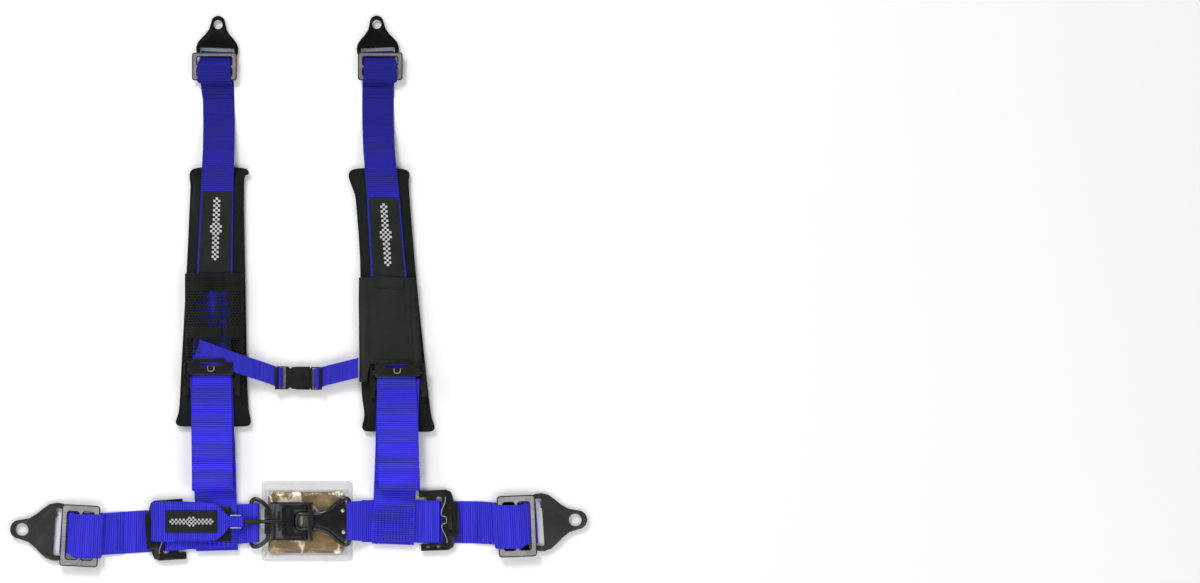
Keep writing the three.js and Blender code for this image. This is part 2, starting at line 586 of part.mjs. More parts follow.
function buckle(frame) {
  const edge = [[-28, 11], [-26, 13.8], [-13, 13.8], [-11, 11.6], [-6, 11.6], [-3.5, 13.8], [13.4, 13.8]];
  const outline = [...edge, ...edge.toReversed().map(([x, y]) => [x, -y])].map((p) => new THREE.Vector2(...p));
  const slot = box(-23.8, -15.6, -12.4, 12.4, BUCKLE_LOW - 1, BUCKLE_HIGH);
  const cavity = box(-11.2, 15, -16, 16, BUCKLE_LOW + 1.6, BUCKLE_HIGH - 1.6);
  const shell = cut(slab(new THREE.Shape(outline), BUCKLE_LOW, BUCKLE_HIGH), slot, cavity);
  part(frame, 'buckle_female', shell, 'black_plastic');
  const low = BUCKLE_LOW + 2;
  const high = BUCKLE_HIGH - 2;
  const block = slab(roundedShape(14, 28.3, -13.8, 13.8, 2.5), BUCKLE_LOW, BUCKLE_HIGH);
  const guide = box(-6, 15, -2, 2, low, high);
  const maleSlot = box(16.2, 23.6, -12.4, 12.4, BUCKLE_LOW - 1, BUCKLE_HIGH + 1);
  part(frame, 'buckle_male', cut(join(block, guide), maleSlot), 'black_plastic');
  for (const [name, side] of [['rear', 1], ['front', -1]]) {
    const prong = [[13.4, 8], [13.4, 12.2], [-1, 12.2], [-3.2, 13.4], [-8, 13.4], [-10.6, 9], [-6, 8.6], [-1, 9], [6, 8.4]];
    const shape = new THREE.Shape(prong.map(([x, y]) => new THREE.Vector2(x, side * y)));
    part(frame, `buckle_prong_${name}`, slab(shape, low, high), 'black_plastic');
  }
}

// ---------- assembly ----------
const lapShifts = {
  left: [[0, 0], [50, -3.1], [75, -5.5], [99.6, -5.7], [117.7, -4.3], [257, 4.9]],
  right: [[0, 0], [50, 3], [75, 5.5], [97, 4.4], [115, 3.2], [258, 1.5]],
};
const runShifts = {
  left: [[36, -1.2], [43, -3.2], [60, -3.2], [74, -1.8], [92, 0.3], [141, 1.6], [173, 0.8], [410, -6.5], [562, -5.5]],
  right: [[36, 1.5], [43, 3.6], [60, 3.6], [74, 1.8], [109, 0.9], [144, 2.6], [176, 5.4], [209, 8.3], [304, 14.9], [411, 24.2], [562, 28]],
};

const leftEnd = beltEnd('lap_left', LAP_LEFT, 1, { plateTurn: -3.8, slideShift: -7.3, slideTurn: -2.9 });
const rightEnd = beltEnd('lap_right', LAP_RIGHT, 1, { plateTurn: 3.7, slideShift: 7.2, slideTurn: 2.3 });
outerLapBelt('left', leftEnd, lapShifts.left, -8, leans(1, -3.8, -2.9));
outerLapBelt('right', rightEnd, lapShifts.right, 8, leans(1, 3.7, 2.3));

const leftInner = group(harness, [-153, -288.1], 183.8);
const rightInner = group(harness, [161.3, -278.5], -0.7);
innerLapBelt('lap_belt_inner_left', leftInner, 183.8, -96.2, SECOND_LAYER + 3, 14, 6.5, -1.5, 6);
innerLapBelt('lap_belt_inner_right', rightInner, -0.7, -99.8, LINK_Z, 24, 8, 0, 0);
lapAdjuster('lap_left', leftInner);
lapAdjuster('lap_right', group(rightInner, [0, 1.5], 3));

const leftRun = beltEnd('shoulder_left', RUN_LEFT, SHOULDER_SCALE, { plateTurn: -1.9, slideShift: -4, slideTurn: 0 });
const rightRun = beltEnd('shoulder_right', RUN_RIGHT, SHOULDER_SCALE, { plateTurn: 2.3, slideShift: 4.5, slideTurn: 0 });
shoulderBelt('left', leftRun, runShifts.left, -4.2, leans(SHOULDER_SCALE, -1.9, 0));
shoulderBelt('right', rightRun, runShifts.right, 4.7, leans(SHOULDER_SCALE, 2.3, 0));
beltLabel('left', leftRun, 200.8, 300, runShifts.left);
beltLabel('right', rightRun, 208.2, 314, runShifts.right);
shoulderAdjuster('shoulder_left', [-104.3, -110.6], 90);
shoulderAdjuster('shoulder_right', [120.4, -113], 91.5);
lowerShoulderBelt('left', [-98.6, -313.5], 91.6, 203);
lowerShoulderBelt('right', [113.6, -305.8], 87.8, 193);

shoulderPad('left', [
  [-131, 138], [-127, 147], [-96, 149], [-64, 147], [-61, 140], [-67, 131], [-65, 0], [-62.5, -130],
  [-58.5, -157], [-64, -162.4], [-103, -162], [-142, -162.4], [-148, -158], [-143.5, -144], [-140.5, -90],
  [-134, 30], [-129.5, 128],
]);
shoulderPad('right', [
  [61, 138], [65, 146], [98, 148], [129, 146], [133.5, 139], [132, 126], [141, 16], [152, -90], [159, -150],
  [163.5, -164], [158, -169], [118, -168], [82, -168.5], [77.5, -164], [80.5, -148], [76.5, -110], [75.5, 30], [69.5, 115],
]);

const roof = [[0, 17.4], [21, 17.4], [41, 18.2], [61, 21.2], [76, 22]];
cover('mesh_pocket', group(harness, [-101.4, 21], -90), [...roof, [78, 22]], 35.3, (x, y, z) => [x, y, z], 'pad_cloth');
const wrapSpread = (x, y, z) => [x, y * (1 + 0.0011 * x) + 0.045 * x, z];
cover('pad_wrap', group(harness, [107.3, 16.4], -90), [...roof, [98.4, 22]], 34.6, wrapSpread, 'wrap_cloth');
const flap = slab(roundedShape(-17, 17, -8, 6, 1.5), 18.9, 20.1, 3);
part(group(harness, [110.3, 11], -4.5), 'wrap_flap', flap, 'wrap_cloth');

const latch = group(harness, [0, LATCH_Y]);
latchPad(latch);
latchBody(latch);
bail(group(latch, [0, -2]));
lever(latch);
pullTab(latch);
link(latch);
const hookPatch = slab(roundedShape(-142.5, -81.4, -24, 17, 1), 7, 8.3);
part(latch, 'hook_patch', hookPatch, 'label');

const chest = group(harness, [0, -105], -1);
chestStraps(chest);
buckle(chest);

// the row's origin is the middle of the whole harness, on the floor
const bounds = new THREE.Box3().setFromObject(harness, true);
const middle = bounds.getCenter(new THREE.Vector3());
harness.position.set(-middle.x, -middle.y, -bounds.min.z);

export default harness;
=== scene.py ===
"""Looks of a four point racing harness lying flat: ribbed webbing, stuffed pads, net, coated steel.

Metres, +X towards the link side of the lap belt, +Y towards the shoulder anchors, +Z up.
"""
import json
import math

import bmesh
import bpy
import numpy as np
from mathutils import Matrix, Vector, noise
from mathutils.bvhtree import BVHTree


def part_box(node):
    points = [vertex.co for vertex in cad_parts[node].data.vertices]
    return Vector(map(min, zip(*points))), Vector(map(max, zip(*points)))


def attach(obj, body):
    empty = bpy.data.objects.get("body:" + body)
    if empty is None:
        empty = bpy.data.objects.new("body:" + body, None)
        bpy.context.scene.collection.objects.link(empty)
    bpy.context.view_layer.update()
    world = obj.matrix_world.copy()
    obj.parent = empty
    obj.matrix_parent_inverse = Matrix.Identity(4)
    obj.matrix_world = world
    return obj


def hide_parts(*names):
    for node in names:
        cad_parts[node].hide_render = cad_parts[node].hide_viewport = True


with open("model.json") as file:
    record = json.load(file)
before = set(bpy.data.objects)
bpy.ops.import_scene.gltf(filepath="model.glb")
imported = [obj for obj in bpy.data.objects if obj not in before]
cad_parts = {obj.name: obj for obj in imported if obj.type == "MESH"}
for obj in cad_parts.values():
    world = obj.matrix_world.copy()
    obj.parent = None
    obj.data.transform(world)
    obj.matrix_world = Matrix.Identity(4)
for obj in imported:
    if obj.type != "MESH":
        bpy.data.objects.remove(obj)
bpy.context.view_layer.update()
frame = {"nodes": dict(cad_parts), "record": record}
nodes = frame["nodes"]
record = frame["record"]
BODY = {n: body for body, members in record["behaviour"]["bodies"].items() for n in members}
SIDES = ("left", "right")
ENDS = ("lap_left", "lap_right", "shoulder_left", "shoulder_right")
ACROSS_X = Vector((1, 0, 0))
ACROSS_Y = Vector((0, 1, 0))

# ---------- driving dimensions, in metres ----------
MM = 0.001
WELD = 0.00001                # vertices closer than this are one
RIB = 0.0026                  # rib pitch of the wide webbing
FINE_RIB = 0.0015             # rib pitch of the chest strap
RIB_DEPTH = 0.2               # share of the half thickness
CORNER = 0.0016               # webbing turns its corners this softly
WAVER = 0.00022               # how far a strip's edges wander
STITCH = 0.0026               # length of one stitch
THREAD = 0.00036              # radius of the sewing thread
NET_CELL = 0.0038             # across one hexagon of the net
NET_THREAD = 0.00058          # radius of its threads
NARROWEST = 0.021             # every strip is wider than this
ON_CLOTH = THREAD * 0.2       # a stitch's middle lies this far above the cloth
BELT_SLIDE = 0.025            # how far a shoulder belt is pulled through its adjuster
PAD_FLOOR, PAD_CEILING = 0.0004, 0.0136
PAD_MIDDLE = 0.0066           # height of the pads' sewn edge
BASE_TOP = 0.0087             # the latch's base plate is below this
MARK_HEIGHT = 0.00022         # of the squares on the labels
MARK_START = 0.0095           # from a label's upper end to its first square
LAP_TAIL = (0.0705, 0.0745)   # seams across the belts, from their outer ends
STRAP_TAIL = (0.004, 0.0065)
SHOULDER_TAIL = (0.05, 0.053)
POCKET_EDGE = 0.0142          # height of the net pocket's sides
BESIDE_BELT = 0.0148          # height of the pocket's foot where no belt is under it
DOUBLED = 0.021               # the net is doubled this far down from its mouth
FOOT_LAP, FOOT = 0.013, 0.02  # the foot net's overlap with the pocket, and its reach below
WRAP_EDGE = 0.0118            # height of the pad wrap's sides


# ---------- meshes ----------
def smoothstep(value, low, high):
    share = np.clip((np.asarray(value, float) - low) / (high - low), 0, 1)
    return share * share * (3 - 2 * share)


def wobble(x, y, z):
    """Smooth noise, from about -1 to 1."""
    return noise.noise(Vector((x, y, z)))


def unit(vectors):
    return vectors / np.linalg.norm(vectors, axis=-1, keepdims=True)


def distances(line):
    """How far along a line each of its points is."""
    return np.concatenate([[0], np.cumsum(np.linalg.norm(np.diff(line, axis=0), axis=1))])


def points_at(marks, place, line):
    """The points at these marks along a line whose own points are at place."""
    return np.stack([np.interp(marks, place, line[:, k]) for k in range(3)], axis=1)


def softened(points, kernel):
    return np.stack([np.convolve(points[:, k], kernel, "valid") for k in range(3)], axis=1)


def placed(name, data):
    """An object with this data, in the scene."""
    thing = bpy.data.objects.new(name, data)
    bpy.context.scene.collection.objects.link(thing)
    return thing


def from_bmesh(name, bm):
    """An object from a bmesh, which is used up."""
    mesh = bpy.data.meshes.new(name)
    bm.to_mesh(mesh)
    bm.free()
    return placed(name, mesh)


def smoothed(thing, crease=None):
    """Shades a piece smooth, apart from its edges above an angle of this many degrees."""
    thing.data.polygons.foreach_set("use_smooth", [True] * len(thing.data.polygons))
    if crease:
        thing.data.set_sharp_from_angle(angle=math.radians(crease))
    return thing


def made(name, points, faces, uv=None, smooth=True):
    """An object of these points and faces; uv holds one pair for each point."""
    mesh = bpy.data.meshes.new(name)
    mesh.from_pydata(np.asarray(points, float).tolist(), [], [list(map(int, f)) for f in faces])
    if uv is not None:
        layer = mesh.uv_layers.new(name="cloth")
        corners = np.zeros(len(mesh.loops), int)
        mesh.loops.foreach_get("vertex_index", corners)
        layer.data.foreach_set("uv", np.asarray(uv, float)[corners].ravel())
    mesh.polygons.foreach_set("use_smooth", [smooth] * len(mesh.polygons))
    return placed(name, mesh)


def fixed(thing):
    """Turns every face outwards."""
    bm = bmesh.new()
    bm.from_mesh(thing.data)
    bmesh.ops.recalc_face_normals(bm, faces=bm.faces)
    bm.to_mesh(thing.data)
    bm.free()
    return thing


def welded(node):
    """A copy of a CAD node with its doubled points joined."""
    bm = bmesh.new()
    bm.from_mesh(nodes[node].data)
    bmesh.ops.remove_doubles(bm, verts=bm.verts, dist=WELD)
    bm.normal_update()
    return bm


def applied(thing):
    """Replaces an object's mesh by what its modifiers make of it."""
    bpy.context.view_layer.update()
    shown = thing.evaluated_get(bpy.context.evaluated_depsgraph_get())
    mesh = bpy.data.meshes.new_from_object(shown)
    thing.modifiers.clear()
    old = thing.data
    thing.data = mesh
    bpy.data.meshes.remove(old)
    return thing


def points_of(thing):
    flat = np.zeros(len(thing.data.vertices) * 3)
    thing.data.vertices.foreach_get("co", flat)
    return flat.reshape(-1, 3)


def move_points(thing, points):
    thing.data.vertices.foreach_set("co", np.asarray(points, float).ravel())
    thing.data.update()


def dress(thing, node, *materials, replaces=True):
    """Gives a piece its materials and the body of the CAD node that it belongs to, and hides that node when
    the piece replaces it.
    """
    if not thing.data.materials:
        for item in materials:
            thing.data.materials.append(item)
    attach(thing, BODY[node])
    if replaces:
        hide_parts(node)
    return thing


def surface(node):
    """A function that gives the height of a CAD node's top at a point, or None beside it."""
    bm = welded(node)
    tree = BVHTree.FromBMesh(bm)
    bm.free()
    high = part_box(node)[1].z + 0.01

    def height(x, y):
        hit = tree.ray_cast(Vector((x, y, high)), Vector((0, 0, -1)))[0]
        return None if hit is None else hit.z

    return height


def span_x(node, y):
    """The lowest and highest x of a CAD node where it is cut at y."""
    found = []
    bm = welded(node)
    for edge in bm.edges:
        a, b = (v.co for v in edge.verts)
        if (a.y - y) * (b.y - y) <= 0 and abs(a.y - b.y) > 1e-7:
            found.append(a.x + (b.x - a.x) * (y - a.y) / (b.y - a.y))
    bm.free()
    return min(found), max(found)


def tube_faces(rings, sides, start=0):
    """The walls and the two ends of a tube whose points go ring by ring."""
    faces = []
    for first in range(start, start + (rings - 1) * sides, sides):
        for k in range(sides):
            a, b = first + k, first + (k + 1) % sides
            faces.append((a, b, b + sides, a + sides))
    last = start + (rings - 1) * sides
    return faces + [[start + k for k in reversed(range(sides))], [last + k for k in range(sides)]]


def spindles(centres, directions, length, radius):
    """Short round-ended threads, one at each centre, as points and faces."""
    sides = 5
    centres, directions = np.asarray(centres, float), unit(np.asarray(directions, float))
    aside = unit(np.cross(directions, [0.0, 0.0, 1.0]))
    up = np.cross(aside, directions)
    rings = [(-0.5, 0.25), (-0.32, 0.9), (0.0, 1.0), (0.32, 0.9), (0.5, 0.25)]
    points = []
    for place, swell in rings:
        for k in range(sides):
            angle = 2 * math.pi * k / sides
            out = aside * math.cos(angle) + up * math.sin(angle)
            points.append(centres + directions * place * length + out * radius * swell)
    points = np.stack(points, axis=1)
    faces = []
    for i in range(len(centres)):
        faces += tube_faces(len(rings), sides, i * sides * len(rings))
    return points.reshape(-1, 3), faces


def seam(name, lines, node, thread, spacing=STITCH * 1.35, length=STITCH, radius=THREAD):
    """Stitches along these lines of points, as one piece on a CAD node's body."""
    centres, directions = [], []
    for line in lines:
        line = np.asarray(line, float)
        place = distances(line)
        count = max(int(place[-1] / spacing), 1)
        marks = (np.arange(count) + 0.5) * place[-1] / count
        start = points_at(np.maximum(marks - length / 2, 0), place, line)
        end = points_at(np.minimum(marks + length / 2, place[-1]), place, line)
        centres.extend((start + end) / 2)
        directions.extend(end - start)
    points, faces = spindles(centres, directions, length, radius)
    dress(made(name, points, faces), node, thread, replaces=False)


# ---------- materials ----------
class Finish:
    """A procedural material, with short names for the nodes that make its pattern."""

    def __init__(self, name, roughness, metallic=0.0, **sockets):
        self.material = bpy.data.materials.new(name)
        self.material.use_nodes = True
        self.tree = self.material.node_tree
        self.shader = self.tree.nodes["Principled BSDF"]
        self.shader.inputs["Roughness"].default_value = roughness
        self.shader.inputs["Metallic"].default_value = metallic
        for socket, value in sockets.items():
            self.shader.inputs[socket.replace("_", " ")].default_value = value
        self.place = self.node("TexCoord").outputs["Object"]

    def node(self, kind, inputs=None, **settings):
        item = self.tree.nodes.new("ShaderNode" + kind)
        for key, value in settings.items():
            setattr(item, key, value)
        for key, value in (inputs or {}).items():
            if isinstance(value, bpy.types.NodeSocket):
                self.tree.links.new(value, item.inputs[key])
            else:
                item.inputs[key].default_value = value
        return item

    def maths(self, operation, a, b=0.0):
        return self.node("Math", {0: a, 1: b}, operation=operation).outputs[0]

    def parts(self, vector):
        split = self.node("SeparateXYZ", {0: vector})
        return split.outputs[0], split.outputs[1], split.outputs[2]

    def total(self, *parts):
        """The sum of these values, each times its share."""
        scaled = [v if share == 1 else self.maths("MULTIPLY", v, share) for v, share in parts]
        result = scaled[0]
        for value in scaled[1:]:
            result = self.maths("ADD", result, value)
        return result

    def noise(self, scale, detail=3.0, rough=0.55, stretch=(1, 1, 1), place=None):
        place = self.place if place is None else place
        where = self.node("Mapping", {"Vector": place, "Scale": stretch}).outputs[0]
        inputs = {"Vector": where, "Scale": scale, "Detail": detail, "Roughness": rough}
        return self.node("TexNoise", inputs).outputs["Fac"]

    def ripple(self, value, pitch):
        """A cosine of this pitch, from 0 to 1."""
        turn = self.maths("COSINE", self.maths("MULTIPLY", value, 2 * math.pi / pitch))
        return self.maths("ADD", self.maths("MULTIPLY", turn, 0.5), 0.5)

    def ramp(self, value, low, high):
        inputs = {"Value": value, "From Min": low, "From Max": high}
        return self.node("MapRange", inputs, clamp=True).outputs[0]

    def blend(self, share, one, other):
        item = self.node("Mix", data_type="RGBA")
        for socket, value in ((0, share), (6, one), (7, other)):
            if isinstance(value, bpy.types.NodeSocket):
                self.tree.links.new(value, item.inputs[socket])
            else:
                item.inputs[socket].default_value = value if socket == 0 else (*value, 1)
        return item.outputs[2]

    def colour(self, socket):
        self.tree.links.new(socket, self.shader.inputs["Base Color"])

    def vary_roughness(self, share, low, high):
        inputs = {"Value": share, "To Min": low, "To Max": high}
        spread = self.node("MapRange", inputs).outputs[0]
        self.tree.links.new(spread, self.shader.inputs["Roughness"])

    def bump(self, height, distance, strength=1.0):
        inputs = {"Height": height, "Distance": distance, "Strength": strength}
        self.tree.links.new(self.node("Bump", inputs).outputs[0], self.shader.inputs["Normal"])


def webbing_finish(name, pitch, yarn, bright, deep, painted_shade_colour, gloss):
    """Ribbed blue webbing, with painted shade that darkens it towards the shoulder anchors, where less light
    falls.
    """
    look = Finish(name, gloss, Specular_IOR_Level=0.22, Sheen_Weight=0.06, Sheen_Roughness=0.4)
    cloth = look.node("UVMap", uv_map="cloth").outputs[0]
    length, width, _ = look.parts(cloth)
    rib = look.ripple(length, pitch)
    yarns = look.ripple(look.total((width, 1), (length, 0.35)), yarn)
    picks = look.noise(1.0, 2.0, 0.5, (520.0, 14.0, 1.0), cloth)
    bands = look.noise(1.0, 3.0, 0.5, (70.0, 4.0, 1.0), cloth)
    share = look.ramp(look.total((rib, 0.34), (yarns, 0.12), (picks, 0.6), (bands, 0.35)), 0.42, 0.95)
    # painted shade: from y -0.2 to 0.2 the colour turns to a darker copy, towards the shoulder anchors
    along = look.ramp(look.parts(look.place)[1], -0.2, 0.2)
    unshaded_tone = look.blend(share, deep, bright)
    painted_shade_tone = look.blend(share, tuple(0.4 * c for c in painted_shade_colour), painted_shade_colour)
    look.colour(look.blend(along, unshaded_tone, painted_shade_tone))
    look.vary_roughness(picks, gloss - 0.15, gloss + 0.1)
    look.bump(look.total((rib, 1), (yarns, 0.5), (picks, 0.9)), 0.0003, 0.8)
    return look.material


def steel_finish(name, dark, light, gloss, metallic=0.0, shine=0.3, coat=0.12):
    """Satin coated steel with a faint orange-peel skin and cloudy wear."""
    look = Finish(name, gloss, metallic, Specular_IOR_Level=shine, Coat_Weight=coat, Coat_Roughness=0.12)
    cloud = look.noise(45.0, 5.0, 0.6)
    look.colour(look.blend(look.ramp(cloud, 0.35, 0.75), dark, light))
    look.vary_roughness(look.noise(160.0, 3.0), gloss - 0.08, gloss + 0.12)
    look.bump(look.noise(1400.0, 2.0), 0.00006, 0.35)
    return look.material


def brushed_finish(name, dark, light, stretch, gloss=0.34):
    """Brushed metal; its scratches run across the direction that is stretched most."""
    look = Finish(name, gloss, 0.35, Anisotropic=0.4)
    brushed = look.noise(130.0, 6.0, 0.65, stretch)
    share = look.total((brushed, 0.6), (look.noise(24.0, 3.0), 0.4))
    look.colour(look.blend(look.ramp(share, 0.35, 0.65), dark, light))
    look.vary_roughness(brushed, gloss - 0.1, gloss + 0.12)
    look.bump(brushed, 0.00004, 0.5)
    return look.material


def woven_finish(name, dark, light, pitch, depth, gloss=0.92, crease=0.0):
    """Plain weave: two crossed ripples, with cloudy colour and soft creases."""
    look = Finish(name, gloss, Specular_IOR_Level=0.2, Sheen_Weight=0.06, Sheen_Roughness=0.5)
    x, y, z = look.parts(look.place)
    warp = look.ripple(look.maths("ADD", x, z), pitch)
    weft = look.ripple(look.maths("ADD", y, z), pitch)
    weave = look.maths("MULTIPLY", look.maths("ADD", warp, weft), 0.5)
    share = look.total((weave, 0.45), (look.noise(30.0, 5.0, 0.6), 0.75))
    look.colour(look.blend(look.ramp(share, 0.3, 0.95), dark, light))
    folds = look.noise(20.0, 3.0, 0.5, (2.2, 0.6, 1.0))
    look.bump(look.total((weave, depth), (folds, crease)), 1.0, 0.8)
    return look.material


def gold_finish():
    """Satin gold foil cloth with soft crumples; painted shade darkens the hollows of the crumples, and
    painted highlights run pale along the folds.
    """
    look = Finish("gold_satin", 0.26, 0.35, Coat_Weight=0.7, Coat_Roughness=0.08)
    crumples = look.noise(30.0, 6.0, 0.62, (1.0, 1.5, 1.0))
    fold_and_highlight = look.maths("ABSOLUTE", look.maths("SUBTRACT", look.noise(17.0, 4.0, 0.5, (1.3, 1.0, 1.0)), 0.5))
    # painted shade: the gold is darker where the crumple bump is low
    painted_crease_shade = look.blend(look.ramp(crumples, 0.34, 0.66), (0.105, 0.06, 0.007), (0.29, 0.18, 0.033))
    # painted highlight: a pale colour along the ridges of the folds
    look.colour(look.blend(look.ramp(fold_and_highlight, 0.03, 0.0), painted_crease_shade, (0.9, 0.83, 0.66)))
    look.vary_roughness(crumples, 0.14, 0.36)
    look.bump(look.total((crumples, 0.003), (look.noise(900.0, 2.0), 0.00003), (fold_and_highlight, -0.012)), 1.0, 0.8)
    return look.material


def vinyl_finish(name, alpha):
    """Clear film with soft waves."""
    look = Finish(name, 0.12, 0.0, Coat_Weight=0.6, Coat_Roughness=0.05, Alpha=alpha)
    cloud = look.noise(40.0, 4.0)
    look.colour(look.blend(look.ramp(cloud, 0.3, 0.7), (0.88, 0.88, 0.92), (1.0, 1.0, 1.0)))
    look.bump(look.noise(55.0, 3.0, 0.5, (1.0, 0.4, 1.0)), 0.0012, 0.6)
    return look.material


def plastic_finish(name, dark, light, gloss):
    """Moulded plastic or rubber with a fine grain."""
    look = Finish(name, gloss, Specular_IOR_Level=0.2)
    look.colour(look.blend(look.ramp(look.noise(70.0, 4.0), 0.35, 0.7), dark, light))
    look.vary_roughness(look.noise(210.0, 3.0), gloss - 0.06, gloss + 0.1)
    look.bump(look.noise(1900.0, 2.0), 0.00005, 0.6)
    return look.material


def thread_finish(name, dark, light):
    """Twisted thread."""
    look = Finish(name, 0.6, Specular_IOR_Level=0.2)
    x, y, _ = look.parts(look.place)
    twist = look.ripple(look.maths("ADD", x, y), 0.0007)
    look.colour(look.blend(look.total((twist, 0.5), (look.noise(90.0), 0.5)), dark, light))
    look.bump(twist, 0.00008, 0.6)
    return look.material


# the third colour of each webbing is its painted shade towards the shoulder anchors
WEB = webbing_finish("webbing", RIB, 0.0011, (0.046, 0.039, 0.96), (0.006, 0.005, 0.19),
                     (0.0055, 0.0055, 0.3), 0.6)
STRAP = webbing_finish("strap_webbing", FINE_RIB, 0.0009, (0.044, 0.036, 0.84), (0.008, 0.006, 0.3),
                       (0.01, 0.009, 0.3), 0.36)
BLACK = steel_finish("black_steel", (0.002, 0.0026, 0.0021), (0.007, 0.0082, 0.0072), 0.34, shine=0.22)
GLOSS_BLACK = steel_finish("gloss_steel", (0.002, 0.0024, 0.0022), (0.006, 0.0065, 0.006), 0.2,
                           shine=0.5, coat=0.25)
GREY = steel_finish("grey_steel", (0.06, 0.064, 0.07), (0.12, 0.125, 0.135), 0.4, shine=0.45)
PLATE_BLACK = steel_finish("plate_steel", (0.012, 0.0155, 0.0125), (0.026, 0.031, 0.027), 0.42)
DEEP_BLACK = steel_finish("shoulder_plate_steel", (0.0015, 0.0018, 0.0014), (0.0045, 0.005, 0.0042), 0.4,
                          shine=0.08, coat=0.02)
# pale pinkish metal on the rounded edges: partly worn coating, partly painted highlight where the edges catch
# the lamps
WORN_AND_HIGHLIGHT = steel_finish("worn_and_highlight_edge", (0.012, 0.013, 0.013), (0.16, 0.145, 0.155), 0.25, metallic=0.6, shine=0.5)
# pale metal on the slopes of the lap plates' slots: a painted highlight
HIGHLIGHT_EDGE = steel_finish("painted_highlight_edge", (0.2, 0.2, 0.2), (0.55, 0.53, 0.54), 0.22, metallic=0.8)
DARK_EDGE = steel_finish("dark_edge", (0.003, 0.0036, 0.003), (0.009, 0.01, 0.009), 0.3)
BRUSHED = brushed_finish("brushed_steel", (0.21, 0.192, 0.198), (0.5, 0.465, 0.48), (1.0, 9.0, 1.0))
BRUSHED_ACROSS = brushed_finish("brushed_across", (0.12, 0.11, 0.115), (0.3, 0.27, 0.285), (9.0, 1.0, 1.0))
ZINC = brushed_finish("zinc", (0.4, 0.37, 0.37), (0.75, 0.7, 0.71), (3.0, 3.0, 1.0), 0.26)
PAD = woven_finish("pad_cloth", (0.0015, 0.0025, 0.0018), (0.0125, 0.0175, 0.0135), 0.0011, 0.00018,
                   crease=0.0016)
WRAP = woven_finish("wrap_cloth", (0.0035, 0.0045, 0.0035), (0.02, 0.0235, 0.0195), 0.0007, 0.0001, 0.7,
                    crease=0.001)
NET = woven_finish("net_thread", (0.0025, 0.003, 0.0025), (0.013, 0.015, 0.012), 0.0008, 0.0002, 0.7)
LABEL = woven_finish("label_weave", (0.005, 0.006, 0.005), (0.021, 0.024, 0.021), 0.0009, 0.00014, 0.8)
MARK = thread_finish("mark_thread", (0.42, 0.43, 0.43), (0.68, 0.68, 0.68))
BLUE_THREAD = thread_finish("blue_thread", (0.006, 0.005, 0.07), (0.018, 0.014, 0.26))
DARK_THREAD = thread_finish("dark_thread", (0.006, 0.007, 0.006), (0.03, 0.033, 0.03))
GOLD = gold_finish()
VINYL = vinyl_finish("vinyl_border", 0.36)
CLEAR = vinyl_finish("vinyl_film", 0.03)
PLASTIC = plastic_finish("black_plastic", (0.004, 0.0045, 0.005), (0.013, 0.0135, 0.015), 0.36)
RUBBER = plastic_finish("rubber", (0.014, 0.017, 0.011), (0.026, 0.03, 0.02), 0.6)


# ---------- webbing ----------
def outlines_of(bm, across):
    """The outlines of the strip's two side faces, each as points in order."""
    def spans(vertices):
        places = [v.co.dot(across) for v in vertices]
        return max(places) - min(places) > NARROWEST

    links = {}
    for edge in bm.edges:
        if not spans(edge.verts) and sum(spans(face.verts) for face in edge.link_faces) == 1:
            a, b = edge.verts
            links.setdefault(a, []).append(b)
            links.setdefault(b, []).append(a)
    loops = []
    while links:
        here = next(iter(links))
        loop = []
        while here in links:
            loop.append(here)
            one, other = links.pop(here)
            here = one if one in links else other
        loops.append(np.array([v.co[:] for v in loop]))
    return sorted(loops, key=lambda loop: (loop @ np.array(across)).mean())


def strip_edges(node, across):
    """Four rows of points: the strip's upper and lower face, each at its left and right edge."""
    bm = welded(node)
    left, right = outlines_of(bm, across)
    bm.free()
    count = len(left)
    if count != len(right):
        raise ValueError(f"{node}: {count} and {len(right)} points")
    turns = [(k + way * np.arange(count)) % count for way in (1, -1) for k in range(count)]
    right = right[min(turns, key=lambda t: np.linalg.norm(left - right[t], axis=1).sum())]
    middle = (left + right) / 2
    half = np.arange(count // 2)
    splits = [((k + half) % count, (k - 1 - half) % count) for k in range(count)]
    upper, lower = min(splits, key=lambda s: np.linalg.norm(middle[s[0]] - middle[s[1]], axis=1).max())
    return left[upper], right[upper], left[lower], right[lower]


def evened(rows, spacing, soften):
    """The rows at even steps along their middle, with their corners softened."""
    place = distances(sum(rows) / len(rows))
    count = int(place[-1] / spacing) + 1
    marks = np.linspace(0, place[-1], count)
    reach = max(int(soften / spacing), 1)
    kernel = np.hanning(2 * reach + 3)[1:-1]
    kernel /= kernel.sum()
    result = []
    for row in rows:
        even = points_at(marks, place, row)
        ahead = even[0] + (even[0] - even[1]) * np.arange(reach, 0, -1)[:, None]
        beyond = even[-1] + (even[-1] - even[-2]) * np.arange(1, reach + 1)[:, None]
        result.append(softened(np.concatenate([ahead, even, beyond]), kernel))
    return marks, result


